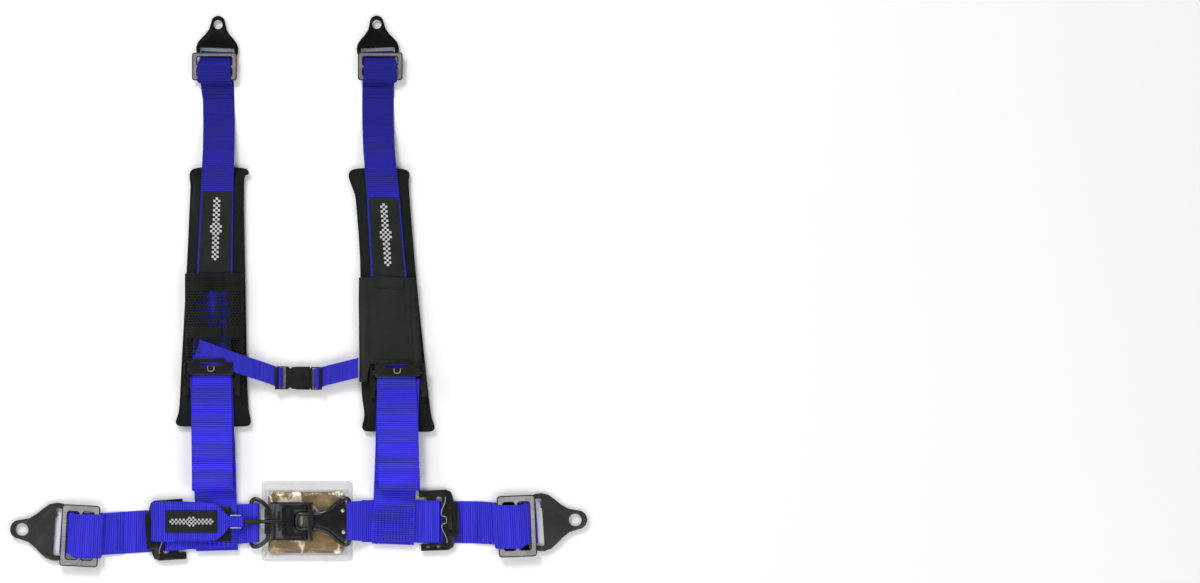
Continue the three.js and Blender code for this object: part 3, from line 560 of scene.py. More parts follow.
def ribbed(name, rows, pitch):
    """A closed strip of webbing with ribs across it and rounded selvedges."""
    marks, (up_left, up_right, low_left, low_right) = evened(rows, pitch / 4, CORNER)
    inside = np.linspace(-0.82, 0.82, 9)
    shares = np.concatenate([[-1, -0.985, -0.94, -0.88], inside, [0.88, 0.94, 0.985, 1]])
    thick = np.interp(np.abs(shares), [0, 0.85, 0.9, 0.95, 0.985, 1], [0.97, 0.95, 0.88, 1.0, 0.75, 0.3])
    ribs = 0.5 - 0.5 * np.cos(2 * math.pi * marks / pitch)
    left, right = (up_left + low_left) / 2, (up_right + low_right) / 2
    up = (up_left + up_right - low_left - low_right) / 2
    half = np.linalg.norm(up, axis=1, keepdims=True) / 2
    up = up / (2 * half)
    drift = [wobble(m * 18.0, left[0][0] * 40, 3.1) for m in marks]
    wander = unit(right - left) * (WAVER * np.array(drift))[:, None]
    rings = []
    from_middle = len(shares) // 2 + 1
    for sign, order in ((1, shares), (-1, shares[::-1])):
        for t in order:
            swell = np.interp(abs(t), np.abs(shares[:from_middle])[::-1], thick[:from_middle][::-1])
            groove = RIB_DEPTH * float(1 - smoothstep(abs(t), 0.86, 0.93))
            height = half * swell * (1 - groove * ribs[:, None])
            rings.append(left + (right - left) * (t + 1) / 2 + up * sign * height + wander)
    points = np.stack(rings, axis=1)
    width = np.linalg.norm(right - left, axis=1)[:, None]
    place = np.concatenate([shares, shares[::-1]])[None] * width / 2 + 0.05
    uv = np.stack([np.broadcast_to(marks[:, None], place.shape), place], axis=-1)
    return made(name, points.reshape(-1, 3), tube_faces(*points.shape[:2]), uv.reshape(-1, 2))


def belt(node, across, finish=WEB, pitch=RIB):
    dress(fixed(ribbed(node + "_web", strip_edges(node, across), pitch)), node, finish)


def belts():
    for side in SIDES:
        belt(f"lap_belt_outer_{side}", ACROSS_Y)
        belt(f"lap_belt_inner_{side}", ACROSS_Y)
        belt(f"shoulder_belt_{side}", ACROSS_X)
        belt(f"lower_shoulder_belt_{side}", ACROSS_X)
        belt(f"chest_strap_{side}", ACROSS_Y, STRAP, FINE_RIB)


# ---------- pressed, cut and moulded pieces ----------
def machined(node, bevel, *materials, segments=2, border=0.0, recolour=None):
    """A copy of a CAD node with its edges rounded; the second material goes on the rounding.

    A border gives the flat faces a rim of the second material too, and recolour may change
    which face has which material.
    """
    bm = welded(node)
    bmesh.ops.dissolve_limit(bm, angle_limit=math.radians(1), verts=bm.verts, edges=bm.edges)
    if border:
        for face in bm.faces:
            face.material_index = 1
        flat = [face for face in bm.faces if abs(face.normal.z) > 0.95]
        bmesh.ops.inset_region(bm, faces=flat, thickness=border, use_even_offset=True)
        for face in flat:
            face.material_index = 0
    thing = from_bmesh(node + "_made", bm)
    for item in materials:
        thing.data.materials.append(item)
    rounding = thing.modifiers.new("rounding", "BEVEL")
    rounding.width = bevel
    rounding.segments = segments
    rounding.limit_method = "ANGLE"
    rounding.angle_limit = math.radians(38)
    rounding.material = min(1, len(materials) - 1)
    smoothed(applied(thing), 35)
    if recolour:
        recolour(thing)
    dress(thing, node, *materials)


def round_wire(node, finish, swell):
    """A copy of a bent wire with its section made round and full."""
    thing = from_bmesh(node + "_wire", welded(node))
    thing.modifiers.new("round", "SUBSURF").levels = 2
    fuller = thing.modifiers.new("fuller", "DISPLACE")
    fuller.strength = swell
    fuller.mid_level = 0
    dress(smoothed(applied(thing)), node, finish)


def hardware():
    for end in ENDS:
        lap = end.startswith("lap")
        machined(f"anchor_plate_{end}", 0.5 * MM, PLATE_BLACK if lap else DEEP_BLACK, DARK_EDGE)
        bright = BRUSHED if lap else BRUSHED_ACROSS
        machined(f"slide_{end}", 0.5 * MM, bright, DARK_EDGE, border=1.3 * MM)
        machined(f"adjuster_frame_{end}", 0.35 * MM, BLACK, WORN_AND_HIGHLIGHT)
        machined(f"lock_plate_{end}", 0.35 * MM, BLACK, WORN_AND_HIGHLIGHT)
        round_wire(f"lock_spring_{end}", BRUSHED, 0.1 * MM)
    for side in SIDES:
        machined(f"lock_bar_shoulder_{side}", 0.3 * MM, BLACK, WORN_AND_HIGHLIGHT)
    machined("latch_body", 0.5 * MM, GLOSS_BLACK, WORN_AND_HIGHLIGHT, GREY, segments=3, recolour=grey_base)
    machined("latch_lever", 0.6 * MM, BLACK, WORN_AND_HIGHLIGHT, segments=3)
    machined("link_plate", 0.4 * MM, BLACK, WORN_AND_HIGHLIGHT)
    machined("tab_clip", 0.3 * MM, ZINC)
    machined("lever_sleeve", 0.5 * MM, RUBBER)
    for name in ("latch_bail", "link_rim"):
        round_wire(name, GLOSS_BLACK, 0.75 * MM)
    for name in ("lever_pin_rear", "lever_pin_front"):
        machined(name, 0.3 * MM, GLOSS_BLACK, WORN_AND_HIGHLIGHT)
    for name in ("link_rivet_1", "link_rivet_2"):
        machined(name, 0.15 * MM, ZINC)
    for name in ("buckle_female", "buckle_male", "buckle_prong_rear", "buckle_prong_front"):
        machined(name, 0.9 * MM, PLASTIC, segments=4)
    buckle_loops()
    slot_lips()


def slot_lips():
    """The outer edge of each lap plate's slot slopes, and pale metal painted along that slope is a painted
    highlight.
    """
    for side, outward in (("left", 1), ("right", -1)):
        node = f"anchor_plate_lap_{side}"
        low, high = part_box(node)
        top = surface(node)
        centre_y = (low.y + high.y) / 2
        inner = high.x if outward > 0 else low.x
        runs = []
        for y in np.linspace(centre_y - 0.04, centre_y + 0.04, 60):
            xs = inner - outward * np.linspace(0.001, 0.024, 60)
            open_xs = [x for x in xs if top(x, y) is None]
            closed_ends = top(xs[0], y) is not None and top(xs[-1], y) is not None
            if len(open_xs) > 4 and closed_ends:
                runs.append((y, open_xs[-1]))
        runs = runs[2:-2]
        section = [(-0.0005, 0.00005), (0.0017, -0.0018), (0.0017, -0.0024), (-0.0005, -0.0024)]
        points = [(x + outward * out, y, high.z + up) for y, x in runs for out, up in section]
        faces = tube_faces(len(runs), len(section))
        lip = fixed(made(f"slot_lip_{side}", points, faces, smooth=False))
        dress(lip, node, HIGHLIGHT_EDGE, replaces=False)


def grey_base(thing):
    """The latch's base plate is grey; its cheeks and bridge are black."""
    for polygon in thing.data.polygons:
        low = polygon.center.z < BASE_TOP and polygon.normal.z > 0.9
        polygon.material_index = 2 if low else polygon.material_index


def buckle_loops():
    """Each half of the chest buckle has an outer bar, which the strap runs under."""
    halves = (("buckle_female", "chest_strap_left", -1), ("buckle_male", "chest_strap_right", 1))
    width, wall, floor = 0.0036, 0.0016, 0.0085
    for node, strap, outward in halves:
        low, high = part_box(node)
        end = low.x if outward < 0 else high.x
        left, right = sorted((end, end - outward * width))
        top = surface(strap)
        middle = (low.y + high.y) / 2
        level = top((left + right) / 2, middle) + 0.0003
        bm = bmesh.new()
        near, far = low.y + 0.0004, high.y - 0.0004
        outline = [(near, floor), (low.y + wall, floor), (low.y + wall, level), (high.y - wall, level),
                   (high.y - wall, floor), (far, floor), (far, level + 0.0014),
                   (high.y - 0.002, level + 0.0022), (low.y + 0.002, level + 0.0022), (near, level + 0.0014)]
        rings = [[bm.verts.new((x, y, z)) for y, z in outline] for x in (left, right)]
        bm.faces.new(rings[0])
        bm.faces.new(rings[1][::-1])
        count = len(outline)
        for k in range(count):
            bm.faces.new((rings[0][k], rings[1][k], rings[1][(k + 1) % count], rings[0][(k + 1) % count]))
        bmesh.ops.recalc_face_normals(bm, faces=bm.faces)
        bmesh.ops.bevel(bm, geom=bm.edges[:], offset=0.0005, segments=3, profile=0.6, affect="EDGES")
        dress(smoothed(from_bmesh(node + "_loop", bm), 40), node, PLASTIC, replaces=False)


# ---------- pads, by cloth simulation ----------
def inflated(name, node, voxel, pressure, reach, shrink):
    """A copy of a soft solid that starts a little smaller and swells."""
    bm = welded(node)
    low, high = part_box(node)
    centre = (low + high) / 2
    for vertex in bm.verts:
        vertex.co = Vector(centre[k] + (vertex.co[k] - centre[k]) * shrink[k] for k in range(3))
    thing = from_bmesh(name, bm)
    remesh = thing.modifiers.new("remesh", "REMESH")
    remesh.mode = "VOXEL"
    remesh.voxel_size = voxel
    applied(thing)
    start = points_of(thing)
    cloth = thing.modifiers.new("cloth", "CLOTH")
    cloth.settings.use_pressure = True
    cloth.settings.uniform_pressure_force = pressure
    cloth.settings.effector_weights.gravity = 0
    cloth.settings.quality = 5
    for step in range(1, 21):
        bpy.context.scene.frame_set(step)
    applied(thing)
    moved = points_of(thing) - start
    far = np.linalg.norm(moved, axis=1, keepdims=True)
    move_points(thing, start + moved * np.minimum(1, reach / np.maximum(far, 1e-9)))
    bpy.context.scene.frame_set(1)
    thing.modifiers.new("smooth", "SUBSURF").levels = 1
    return smoothed(applied(thing))


def ring_at(node, low, high):
    """The loop of edges of a CAD node that lies between two heights, as points in order."""
    bm = welded(node)
    links = {}
    for edge in bm.edges:
        a, b = edge.verts
        if low < a.co.z < high and low < b.co.z < high:
            links.setdefault(a, []).append(b)
            links.setdefault(b, []).append(a)
    start = next(iter(links))
    loop, last, here = [start], None, start
    while True:
        one, other = links[here][:2]
        ahead = other if one is last else one
        if ahead is start:
            break
        loop.append(ahead)
        last, here = here, ahead
    points = np.array([v.co[:] for v in loop])
    bm.free()
    return points


def fitted(thing, node, margin):
    """Stretches a swollen pad back over the plan of its CAD solid, slice by slice along y.

    Also gives how far across the pad each point is, from -1 to 1.
    """
    low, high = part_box(node)
    points = points_of(thing)
    y_low, y_high = points[:, 1].min(), points[:, 1].max()
    share = (points[:, 1] - y_low) / (y_high - y_low)
    points[:, 1] = low.y + margin + (high.y - low.y - 2 * margin) * share
    ys = np.linspace(low.y + 3 * margin, high.y - 3 * margin, 40)
    spans = np.array([span_x(node, y) for y in ys])
    reach = np.array([[f(points[np.abs(points[:, 1] - y) < 0.005, 0]) for f in (np.min, np.max)] for y in ys])
    target = [np.interp(points[:, 1], ys, spans[:, k]) for k in range(2)]
    found = [np.interp(points[:, 1], ys, reach[:, k]) for k in range(2)]
    across = np.clip((points[:, 0] - found[0]) / (found[1] - found[0]), 0, 1)
    points[:, 0] = target[0] + margin + (target[1] - target[0] - 2 * margin) * across
    z_low, z_high = points[:, 2].min(), points[:, 2].max()
    points[:, 2] = PAD_FLOOR + (PAD_CEILING - PAD_FLOOR) * (points[:, 2] - z_low) / (z_high - z_low)
    return points, 2 * across - 1


def shoulder_pad(side):
    """A stuffed pad that thins out towards its puckered edges."""
    node = f"shoulder_pad_{side}"
    low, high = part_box(node)
    pad = inflated(node + "_stuffed", node, 5 * MM, 4.0, 6 * MM, (0.95, 0.985, 0.74))
    points, across = fitted(pad, node, 0.8 * MM)
    # the edges are sewn shut, so the stuffing thins out towards them
    from_end = np.minimum(points[:, 1] - low.y, high.y - points[:, 1])
    plump = (0.3 + 0.7 * smoothstep(from_end, 0.0, 0.03)) * (1 - 0.35 * smoothstep(np.abs(across), 0.7, 1.0))
    gather = [wobble(p[0] * 12, p[1] * 95, 0.7) for p in points]
    pucker = [wobble(p[0] * 95, p[1] * 12, 3.7) for p in points]
    soft = [wobble(p[0] * 30, p[1] * 22, 8.7) for p in points]
    side_edge = smoothstep(np.abs(across), 0.62, 0.9)
    end_edge = 1 - smoothstep(from_end, 0.004, 0.03)
    lift = 0.0013 * np.array(gather) * side_edge + 0.0015 * np.array(pucker) * end_edge
    lift += 0.0011 * np.array(soft) * smoothstep(np.abs(across), 0.5, 0.7)
    points[:, 2] = PAD_MIDDLE + (points[:, 2] - PAD_MIDDLE) * plump * (1 + lift / 0.006)
    points[:, 2] = np.clip(points[:, 2], 0.0002, 0.0139)
    move_points(pad, points)
    dress(pad, node, PAD)
    welt(node)


def welt(node):
    """The sewn edge all round a pad: a flat lip with a cord in it."""
    ring = ring_at(node, 4 * MM, 5.4 * MM)
    count = 420
    closed = np.concatenate([ring, ring[:1]])
    place = distances(closed)
    line = points_at(np.linspace(0, place[-1], count, endpoint=False), place, closed)
    kernel = np.hanning(9)[1:-1] / np.hanning(9).sum()
    line = softened(np.concatenate([line[-3:], line, line[:3]]), kernel)
    line[:, 2] = PAD_MIDDLE + 0.0007 * np.array([wobble(p[0] * 40, p[1] * 40, 5) for p in line])
    heading = np.roll(line, -1, axis=0) - np.roll(line, 1, axis=0)
    heading[:, 2] = 0
    heading = unit(heading)
    aside = np.stack([heading[:, 1], -heading[:, 0], np.zeros(count)], axis=1)
    section = [(-6.5, 0.4), (-3.6, 0.6), (-1.2, 0.55), (-0.5, 1.05), (0.3, 1.2), (0.9, 0.8), (1.1, 0.0)]
    section += [(x, -z) for x, z in section[-2::-1]]
    centre = line.mean(axis=0)
    sign = 1.0 if float(((line - centre) * aside).sum()) > 0 else -1.0
    rings = [line + aside * sign * x * MM + np.array([0, 0, z * MM]) for x, z in section]
    points = np.stack(rings, axis=1)
    width = len(section)
    faces = []
    for i in range(count):
        ahead = (i + 1) % count
        for k in range(width):
            after = (k + 1) % width
            faces.append((i * width + k, ahead * width + k, ahead * width + after, i * width + after))
    thing = fixed(made(node + "_welt", points.reshape(-1, 3), faces))
    low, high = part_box(node)
    points = np.clip(points_of(thing), np.array(low) - 1.5 * MM, np.array(high) + 1.5 * MM)
    move_points(thing, points)
    dress(thing, node, PAD, replaces=False)


# ---------- cloth panels ----------
def panel(name, place, rows, columns, thick):
    """A closed sheet: place(u, v) gives its upper face, with u down it and v across, from 0 to 1."""
    grid = np.array([[place(u, v) for v in np.linspace(0, 1, columns)] for u in np.linspace(0, 1, rows)])
    along, across = np.gradient(grid, axis=0), np.gradient(grid, axis=1)
    normal = unit(np.cross(along, across))
    normal *= np.sign(normal[rows // 2, columns // 2, 2])
    upper = grid.reshape(-1, 3)
    lower = (grid - normal * thick).reshape(-1, 3)
    count = rows * columns
    faces = []
    for i in range(rows - 1):
        for j in range(columns - 1):
            a = i * columns + j
            faces.append((a, a + 1, a + columns + 1, a + columns))
            faces.append((count + a, count + a + columns, count + a + columns + 1, count + a + 1))
    rim = list(range(columns)) + [i * columns + columns - 1 for i in range(1, rows)]
    rim += [(rows - 1) * columns + j for j in reversed(range(columns - 1))]
    rim += [i * columns for i in reversed(range(1, rows - 1))]
    for a, b in zip(rim, rim[1:] + rim[:1]):
        faces.append((a, count + a, count + b, b))
    u, v = np.meshgrid(np.linspace(0, 1, rows), np.linspace(0, 1, columns), indexing="ij")
    uv = np.stack([u.ravel(), v.ravel()], axis=1)
    return fixed(made(name, np.concatenate([upper, lower]), faces, np.concatenate([uv, uv])))


def cover_height(node):
    """The height of a cover's roof at a given y, read along the middle of the CAD cover."""
    low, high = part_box(node)
    top = surface(node)
    ys = np.linspace(low.y + 0.4 * MM, high.y - 0.4 * MM, 60)
    found = []
    for y in ys:
        left, right = span_x(node, y)
        found.append(top((left + right) / 2, y))
    known = [(y, z) for y, z in zip(ys, found) if z is not None]
    return lambda y: float(np.interp(y, [k[0] for k in known], [k[1] for k in known]))


def net_pocket():
    """A pocket of hexagonal net, doubled at its mouth, with a hem, a band and bound sides."""
    node = "mesh_pocket"
    low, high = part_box(node)
    roof = cover_height(node)
    centre = (low.x + high.x) / 2
    half = (high.x - low.x) / 2

    belt_top, strap_top = surface("shoulder_belt_left"), surface("chest_strap_left")

    def drape(x, y, lift=0.0):
        """The point of the cover at x and y."""
        share = abs(x - centre) / half
        if y < low.y:
            # the belt slides up under the net when it is pulled
            travel = [belt_top(x, y - d) for d in np.linspace(0, BELT_SLIDE, 11)]
            heights = [z for z in travel if z is not None]
            if not heights or travel[0] is None:
                return Vector((x, y, BESIDE_BELT))
            return Vector((x, y, min(max(heights), travel[0] + 0.003) + NET_THREAD * 2))
        fall = (roof(y) - POCKET_EDGE) * float(smoothstep(share, 0.66, 1.0))
        dimple = 0.0006 * wobble(x * 60, y * 60, 1.7)
        return Vector((x, y, roof(y) - fall + dimple * (1 - share) + lift))

    def bunching(spot):
        """The net hangs open in two narrow folds and is drawn together between them."""
        down = (high.y - spot.y) / (high.y - low.y)
        across = (spot.x - centre) / half
        wide = math.exp(-((across + 0.08) / (0.26 - 0.16 * down)) ** 2)
        wide *= float(smoothstep(0.8 - down, 0.0, 0.2))
        slim = math.exp(-((across - 0.36 + 0.06 * down) / 0.08) ** 2)
        wander = 0.3 * wobble(spot.x * 130, spot.y * 40, 5.5)
        return 1.9 - 1.32 * max(wide, slim) + wander

    def net(name, top, bottom, lift, shift, replaces=False):
        """A layer of net; shift moves its hexagons sideways by a share of one."""
        step = NET_CELL * math.sqrt(3) / 2
        radius = NET_CELL / math.sqrt(3)
        links, spots = set(), {}
        for r in range(int((top - bottom) / step)):
            for c in range(int(2 * half / NET_CELL)):
                cx = centre - half + (c + 0.5 + 0.5 * (r % 2) + shift) * NET_CELL
                cy = top - (r + 0.6) * step
                under_strap = cy < low.y and strap_top(cx, cy - radius) is not None
                if abs(cx - centre) > half - radius or under_strap:
                    continue
                corners = []
                for k in range(6):
                    angle = math.radians(30 + 60 * k)
                    x, y = cx + radius * math.cos(angle), cy + radius * math.sin(angle)
                    key = (round(x / NET_CELL * 8), round(y / NET_CELL * 8))
                    spots.setdefault(key, (x, y))
                    corners.append(key)
                for a, b in zip(corners, corners[1:] + corners[:1]):
                    links.add((min(a, b), max(a, b)))
        ends = [(drape(*spots[a], lift), drape(*spots[b], lift)) for a, b in sorted(links)]
        middles = [(a + b) / 2 for a, b in ends]
        thick = NET_THREAD * np.array([bunching(m) for m in middles])[:, None]
        points, faces = spindles(middles, [b - a for a, b in ends], radius * 1.24, thick)
        dress(made(name, points, faces), node, NET, replaces=replaces)

    net("mesh_pocket_net", high.y, low.y + 0.001, 0.0, 0.0, replaces=True)
    net("mesh_pocket_double_net", high.y, high.y - DOUBLED, -0.0007, 0.5)
    net("mesh_pocket_foot_net", low.y + FOOT_LAP, low.y - FOOT, 0.0, 0.5)
    hem_top = high.y - 0.0024

    def hem(u, v):
        x = low.x + 0.001 + (high.x - low.x - 0.002) * v
        y = hem_top + 0.0026 - 0.0042 * u + 0.0006 * math.sin(v * 9)
        bulge = 0.0006 * math.sin(math.pi * u)
        return tuple(drape(x, min(y, high.y + 0.001)) + Vector((0, 0, bulge)))

    dress(panel("mesh_pocket_hem", hem, 9, 60, 0.0008), node, PAD, replaces=False)

    def lining(u, v):
        x = centre - 0.021 + 0.040 * v
        y = hem_top - 0.0015 - 0.0148 * u
        ripple = 0.0003 * math.sin(v * 17 + u * 4)
        return tuple(drape(x, y, -0.0011 + ripple))

    dress(panel("mesh_pocket_band", lining, 14, 34, 0.0004), node, PAD, replaces=False)
    for name, x in (("left", low.x + 0.0012), ("right", high.x - 0.0012)):
        def binding(u, v, x=x):
            y = high.y - (high.y - low.y) * u
            return tuple(drape(x + (v - 0.5) * 0.0022, y, 0.0004))
        dress(panel(f"mesh_pocket_binding_{name}", binding, 60, 5, 0.0006), node, PAD, replaces=False)


def pad_wrap():
    """A cloth cover that goes round the right pad, wider at its lower end."""
    node = "pad_wrap"
    half_top, half_low = 0.0346, 0.0383
    low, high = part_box(node)
    roof = cover_height(node)
    top_centre = low.x + half_top
    low_centre = high.x - half_low

    def place(u, v):
        reach = (0.022 - 0.009 * v) * float(smoothstep(abs(2 * v - 1), 0.62, 0.8)) + 0.006
        y = high.y - (high.y - low.y + reach) * u
        centre = top_centre + (low_centre - top_centre) * u
        half = half_top + (half_low - half_top) * u
        share = 2 * v - 1
        fall = (roof(y) - WRAP_EDGE) * float(smoothstep(abs(share), 0.7, 1.02))
        soft = 0.0009 * wobble(share * 1.6, y * 22, 4.2) * (1 - abs(share))
        crease = -0.0007 * math.exp(-((abs(share) - 0.62) / 0.06) ** 2)
        edge = 0.0012 * wobble(share * 3, y * 30, 9.0) * float(smoothstep(abs(share), 0.9, 1))
        return (centre + share * half + edge * 0.4, y, roof(y) - fall + soft + crease)

    wrap = panel("pad_wrap_cloth", place, 90, 64, 0.0011)
    dress(wrap, node, WRAP)
    rows = [[(u, v) for v in np.linspace(0.03, 0.97, 40)] for u in (0.03, 0.965)]
    rows += [[(u, v) for u in np.linspace(0.03, 0.97, 60)] for v in (0.035, 0.965)]
    raised = Vector((0, 0, THREAD * 0.3))
    lines = [[Vector(place(u, v)) + raised for u, v in row] for row in rows]
    seam("pad_wrap_seam", lines, node, DARK_THREAD)


def flap():
    """The wrap's hook-and-loop flap, with stitches round it."""
    node = "wrap_flap"
    machined(node, 0.45 * MM, WRAP, segments=3)
    low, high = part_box(node)
    top = high.z + ON_CLOTH
    turn = Matrix.Rotation(math.radians(-4.5), 3, "Z")
    centre = (low + high) / 2
    half_x, half_y = 0.0155, 0.0056
    corners = [(-half_x, -half_y), (half_x, -half_y), (half_x, half_y), (-half_x, half_y), (-half_x, -half_y)]
    line = [turn @ Vector((x, y, 0)) + Vector((centre.x, centre.y, top)) for x, y in corners]
    seam("wrap_flap_seam", [line], node, DARK_THREAD)


# ---------- labels ----------
def chequer(name, node, cells):
    """Raised pale squares: cells holds centre, side and turn of each."""
    points, faces = [], []
    for x, y, z, side, turn in cells:
        spin = Matrix.Rotation(turn, 3, "Z")
        faces += tube_faces(2, 4, len(points))
        for inset, up in ((0, 0), (0.12, MARK_HEIGHT)):
            reach = side / 2 * (1 - inset)
            for a, b in ((-1, -1), (1, -1), (1, 1), (-1, 1)):
                corner = spin @ Vector((a * reach, b * reach, 0))
                points.append((x + corner.x, y + corner.y, z + up))
    dress(made(name, points, faces, smooth=False), node, MARK, replaces=False)


def labels():
    """Dark labels with a seam and a generic chequered mark: two on the belts, one on the pull tab."""
    square, rows = 0.0028, 27
    for side in SIDES:
        node = f"shoulder_label_{side}"
        machined(node, 0.25 * MM, LABEL)
        low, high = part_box(node)
        cells = []
        for r in range(rows):
            y = high.y - MARK_START - r * square
            left, right = span_x(node, y)
            ahead = span_x(node, y - square)
            turn = math.atan2((sum(ahead) - left - right) / 2, square)
            for c in range(-2, 3):
                if (r + c) % 2 == 0 and (abs(c) < 2 or abs(r - rows // 2) < 2):
                    cells.append(((left + right) / 2 + c * square, y, high.z, square, turn))
        chequer(f"shoulder_mark_{side}", node, cells)
        lines = []
        for share in (0.055, 0.945):
            line = []
            for y in np.linspace(low.y + 0.001, high.y - 0.006, 30):
                left, right = span_x(node, y)
                line.append((left + (right - left) * share, y, high.z + ON_CLOTH))
            lines.append(line)
        seam(f"shoulder_label_seam_{side}", lines, node, DARK_THREAD, radius=THREAD * 0.8)
    node = "tab_label"
    machined(node, 0.25 * MM, LABEL)
    low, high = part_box(node)
    centre = (low + high) / 2
    cells = []
    square, columns = 0.0023, 23
    for c in range(columns):
        for r in range(-2, 3):
            if (c + r) % 2 == 0 and (abs(r) < 2 or abs(c - columns // 2) < 2):
                spot = (centre.x + (c - columns // 2) * square, centre.y + r * square, high.z)
                cells.append((*spot, square, 0.0))
    chequer("tab_mark", node, cells)
    inset = 0.0014
    corners = [(low.x + inset, low.y + inset), (high.x - inset, low.y + inset)]
    corners += [(high.x - inset, high.y - inset), (low.x + inset, high.y - inset)]
    line = [(x, y, high.z + ON_CLOTH) for x, y in corners + corners[:1]]
    seam("tab_label_seam", [line], node, DARK_THREAD, radius=THREAD * 0.8)


def pull_tab():
    """The tab is folded webbing: a copy of the CAD tab, cut finely so that it can be ribbed."""
    node = "pull_tab"
    bm = welded(node)
    low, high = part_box(node)
    cuts = [(x * ACROSS_X, ACROSS_X) for x in np.arange(low.x, high.x, RIB / 4).tolist()]
    cuts += [(y * ACROSS_Y, ACROSS_Y) for y in np.linspace(low.y, high.y, 14)[1:-1].tolist()]
    for spot, facing in cuts:
        everything = bm.verts[:] + bm.edges[:] + bm.faces[:]
        bmesh.ops.bisect_plane(bm, geom=everything, plane_co=spot, plane_no=facing)
    bm.normal_update()
    depth = 0.00016
    for vertex in bm.verts:
        wave = 0.5 - 0.5 * math.cos(2 * math.pi * (vertex.co.x - low.x) / RIB)
        vertex.co -= vertex.normal * depth * wave
    layer = bm.loops.layers.uv.new("cloth")
    for face in bm.faces:
        for corner in face.loops:
            corner[layer].uv = (corner.vert.co.x - low.x, corner.vert.co.y - low.y)
    dress(smoothed(from_bmesh("pull_tab_web", bm), 50), node, WEB)


# ---------- sewn patches ----------
def patch(side, wavy_rows):
    """The sewing that holds a lower shoulder belt to the lap belt under it."""
    node = f"lower_shoulder_belt_{side}"
    low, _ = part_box(node)
    top = surface(node)
    inset = 0.0032
    depth = 0.046
    y0, y1 = low.y + inset, low.y + depth
    left0, right0 = span_x(node, y0 + 0.001)
    left1, right1 = span_x(node, y1)
    height = top((left0 + right0) / 2, (y0 + y1) / 2) + THREAD * 0.25

    def spot(across, along):
        a, b = left0 + (left1 - left0) * along, right0 + (right1 - right0) * along
        return (a + inset + (b - a - 2 * inset) * across, y0 + (y1 - y0) * along, height)

    lines = [[spot(v, 0.0) for v in np.linspace(0, 1, 12)], [spot(v, 1.0) for v in np.linspace(0, 1, 12)]]
    for across in (0.0, 1.0):
        lines.append([spot(across, u) for u in np.linspace(0.03, 0.97, 12)])
    for k in range(wavy_rows):
        across = (k + 1) / (wavy_rows + 1)
        swing = 0.022
        lines.append([spot(across + swing * (-1) ** n, u) for n, u in enumerate(np.linspace(0.06, 0.94, 22))])
    seam(f"patch_seam_{side}", lines, node, BLUE_THREAD, spacing=STITCH * 1.15, radius=THREAD * 1.15)
    dots = [[spot(v, -0.035) for v in np.linspace(0.02, 0.98, 12)]]
    seam(f"patch_dots_{side}", dots, node, DARK_THREAD, spacing=0.0042, length=0.0016, radius=THREAD * 1.3)


def stitch_row(node, spots, trim=0):
    """A row of points just above a CAD node, at those spots that lie on it."""
    top = surface(node)
    found = [(x, y, top(x, y)) for x, y in spots]
    row = [(x, y, z + ON_CLOTH) for x, y, z in found if z is not None]
    return row[trim:len(row) - trim]


def belt_seams():
    """Rows across the belts where the tail of each end is sewn back on itself."""
    for side in SIDES:
        node = f"lap_belt_outer_{side}"
        low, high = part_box(node)
        outer, inwards = (low.x, 1) if side == "left" else (high.x, -1)
        centre_y = (low.y + high.y) / 2
        ys = np.linspace(centre_y - 0.045, centre_y + 0.045, 60)
        lines = [stitch_row(node, [(outer + inwards * d, y) for y in ys], 2) for d in LAP_TAIL]
        seam(f"lap_tail_seam_{side}", lines, node, BLUE_THREAD)
        if side == "left":
            node = "chest_strap_left"
            low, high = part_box(node)
            ys = np.linspace(low.y, high.y, 90)
            lines = [stitch_row(node, [(low.x + d, y) for y in ys], 2) for d in STRAP_TAIL]
            seam("strap_end_seam_left", lines, node, BLUE_THREAD)
        node = f"shoulder_belt_{side}"
        lines = []
        for offset in SHOULDER_TAIL:
            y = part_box(node)[1].y - offset
            left, right = span_x(node, y)
            lines.append(stitch_row(node, [(x, y) for x in np.linspace(left + 0.002, right - 0.002, 12)]))
        seam(f"shoulder_tail_seam_{side}", lines, node, BLUE_THREAD)


# ---------- latch pad ----------
def crumple(x, y):
    """Height of the insert's creases, from 0 to 1: sharp ridges between flat facets."""
    warp = 0.9 * wobble(x * 22, y * 22, 7.7)
    ridge = 1 - abs(wobble(x * 42 + warp, y * 58 - warp, 1.3)) * 2.2
    fine = 1 - abs(wobble(x * 120, y * 90 + warp, 6.1)) * 2
    return max(0.0, ridge) ** 2 * 0.75 + max(0.0, fine) ** 2 * 0.25


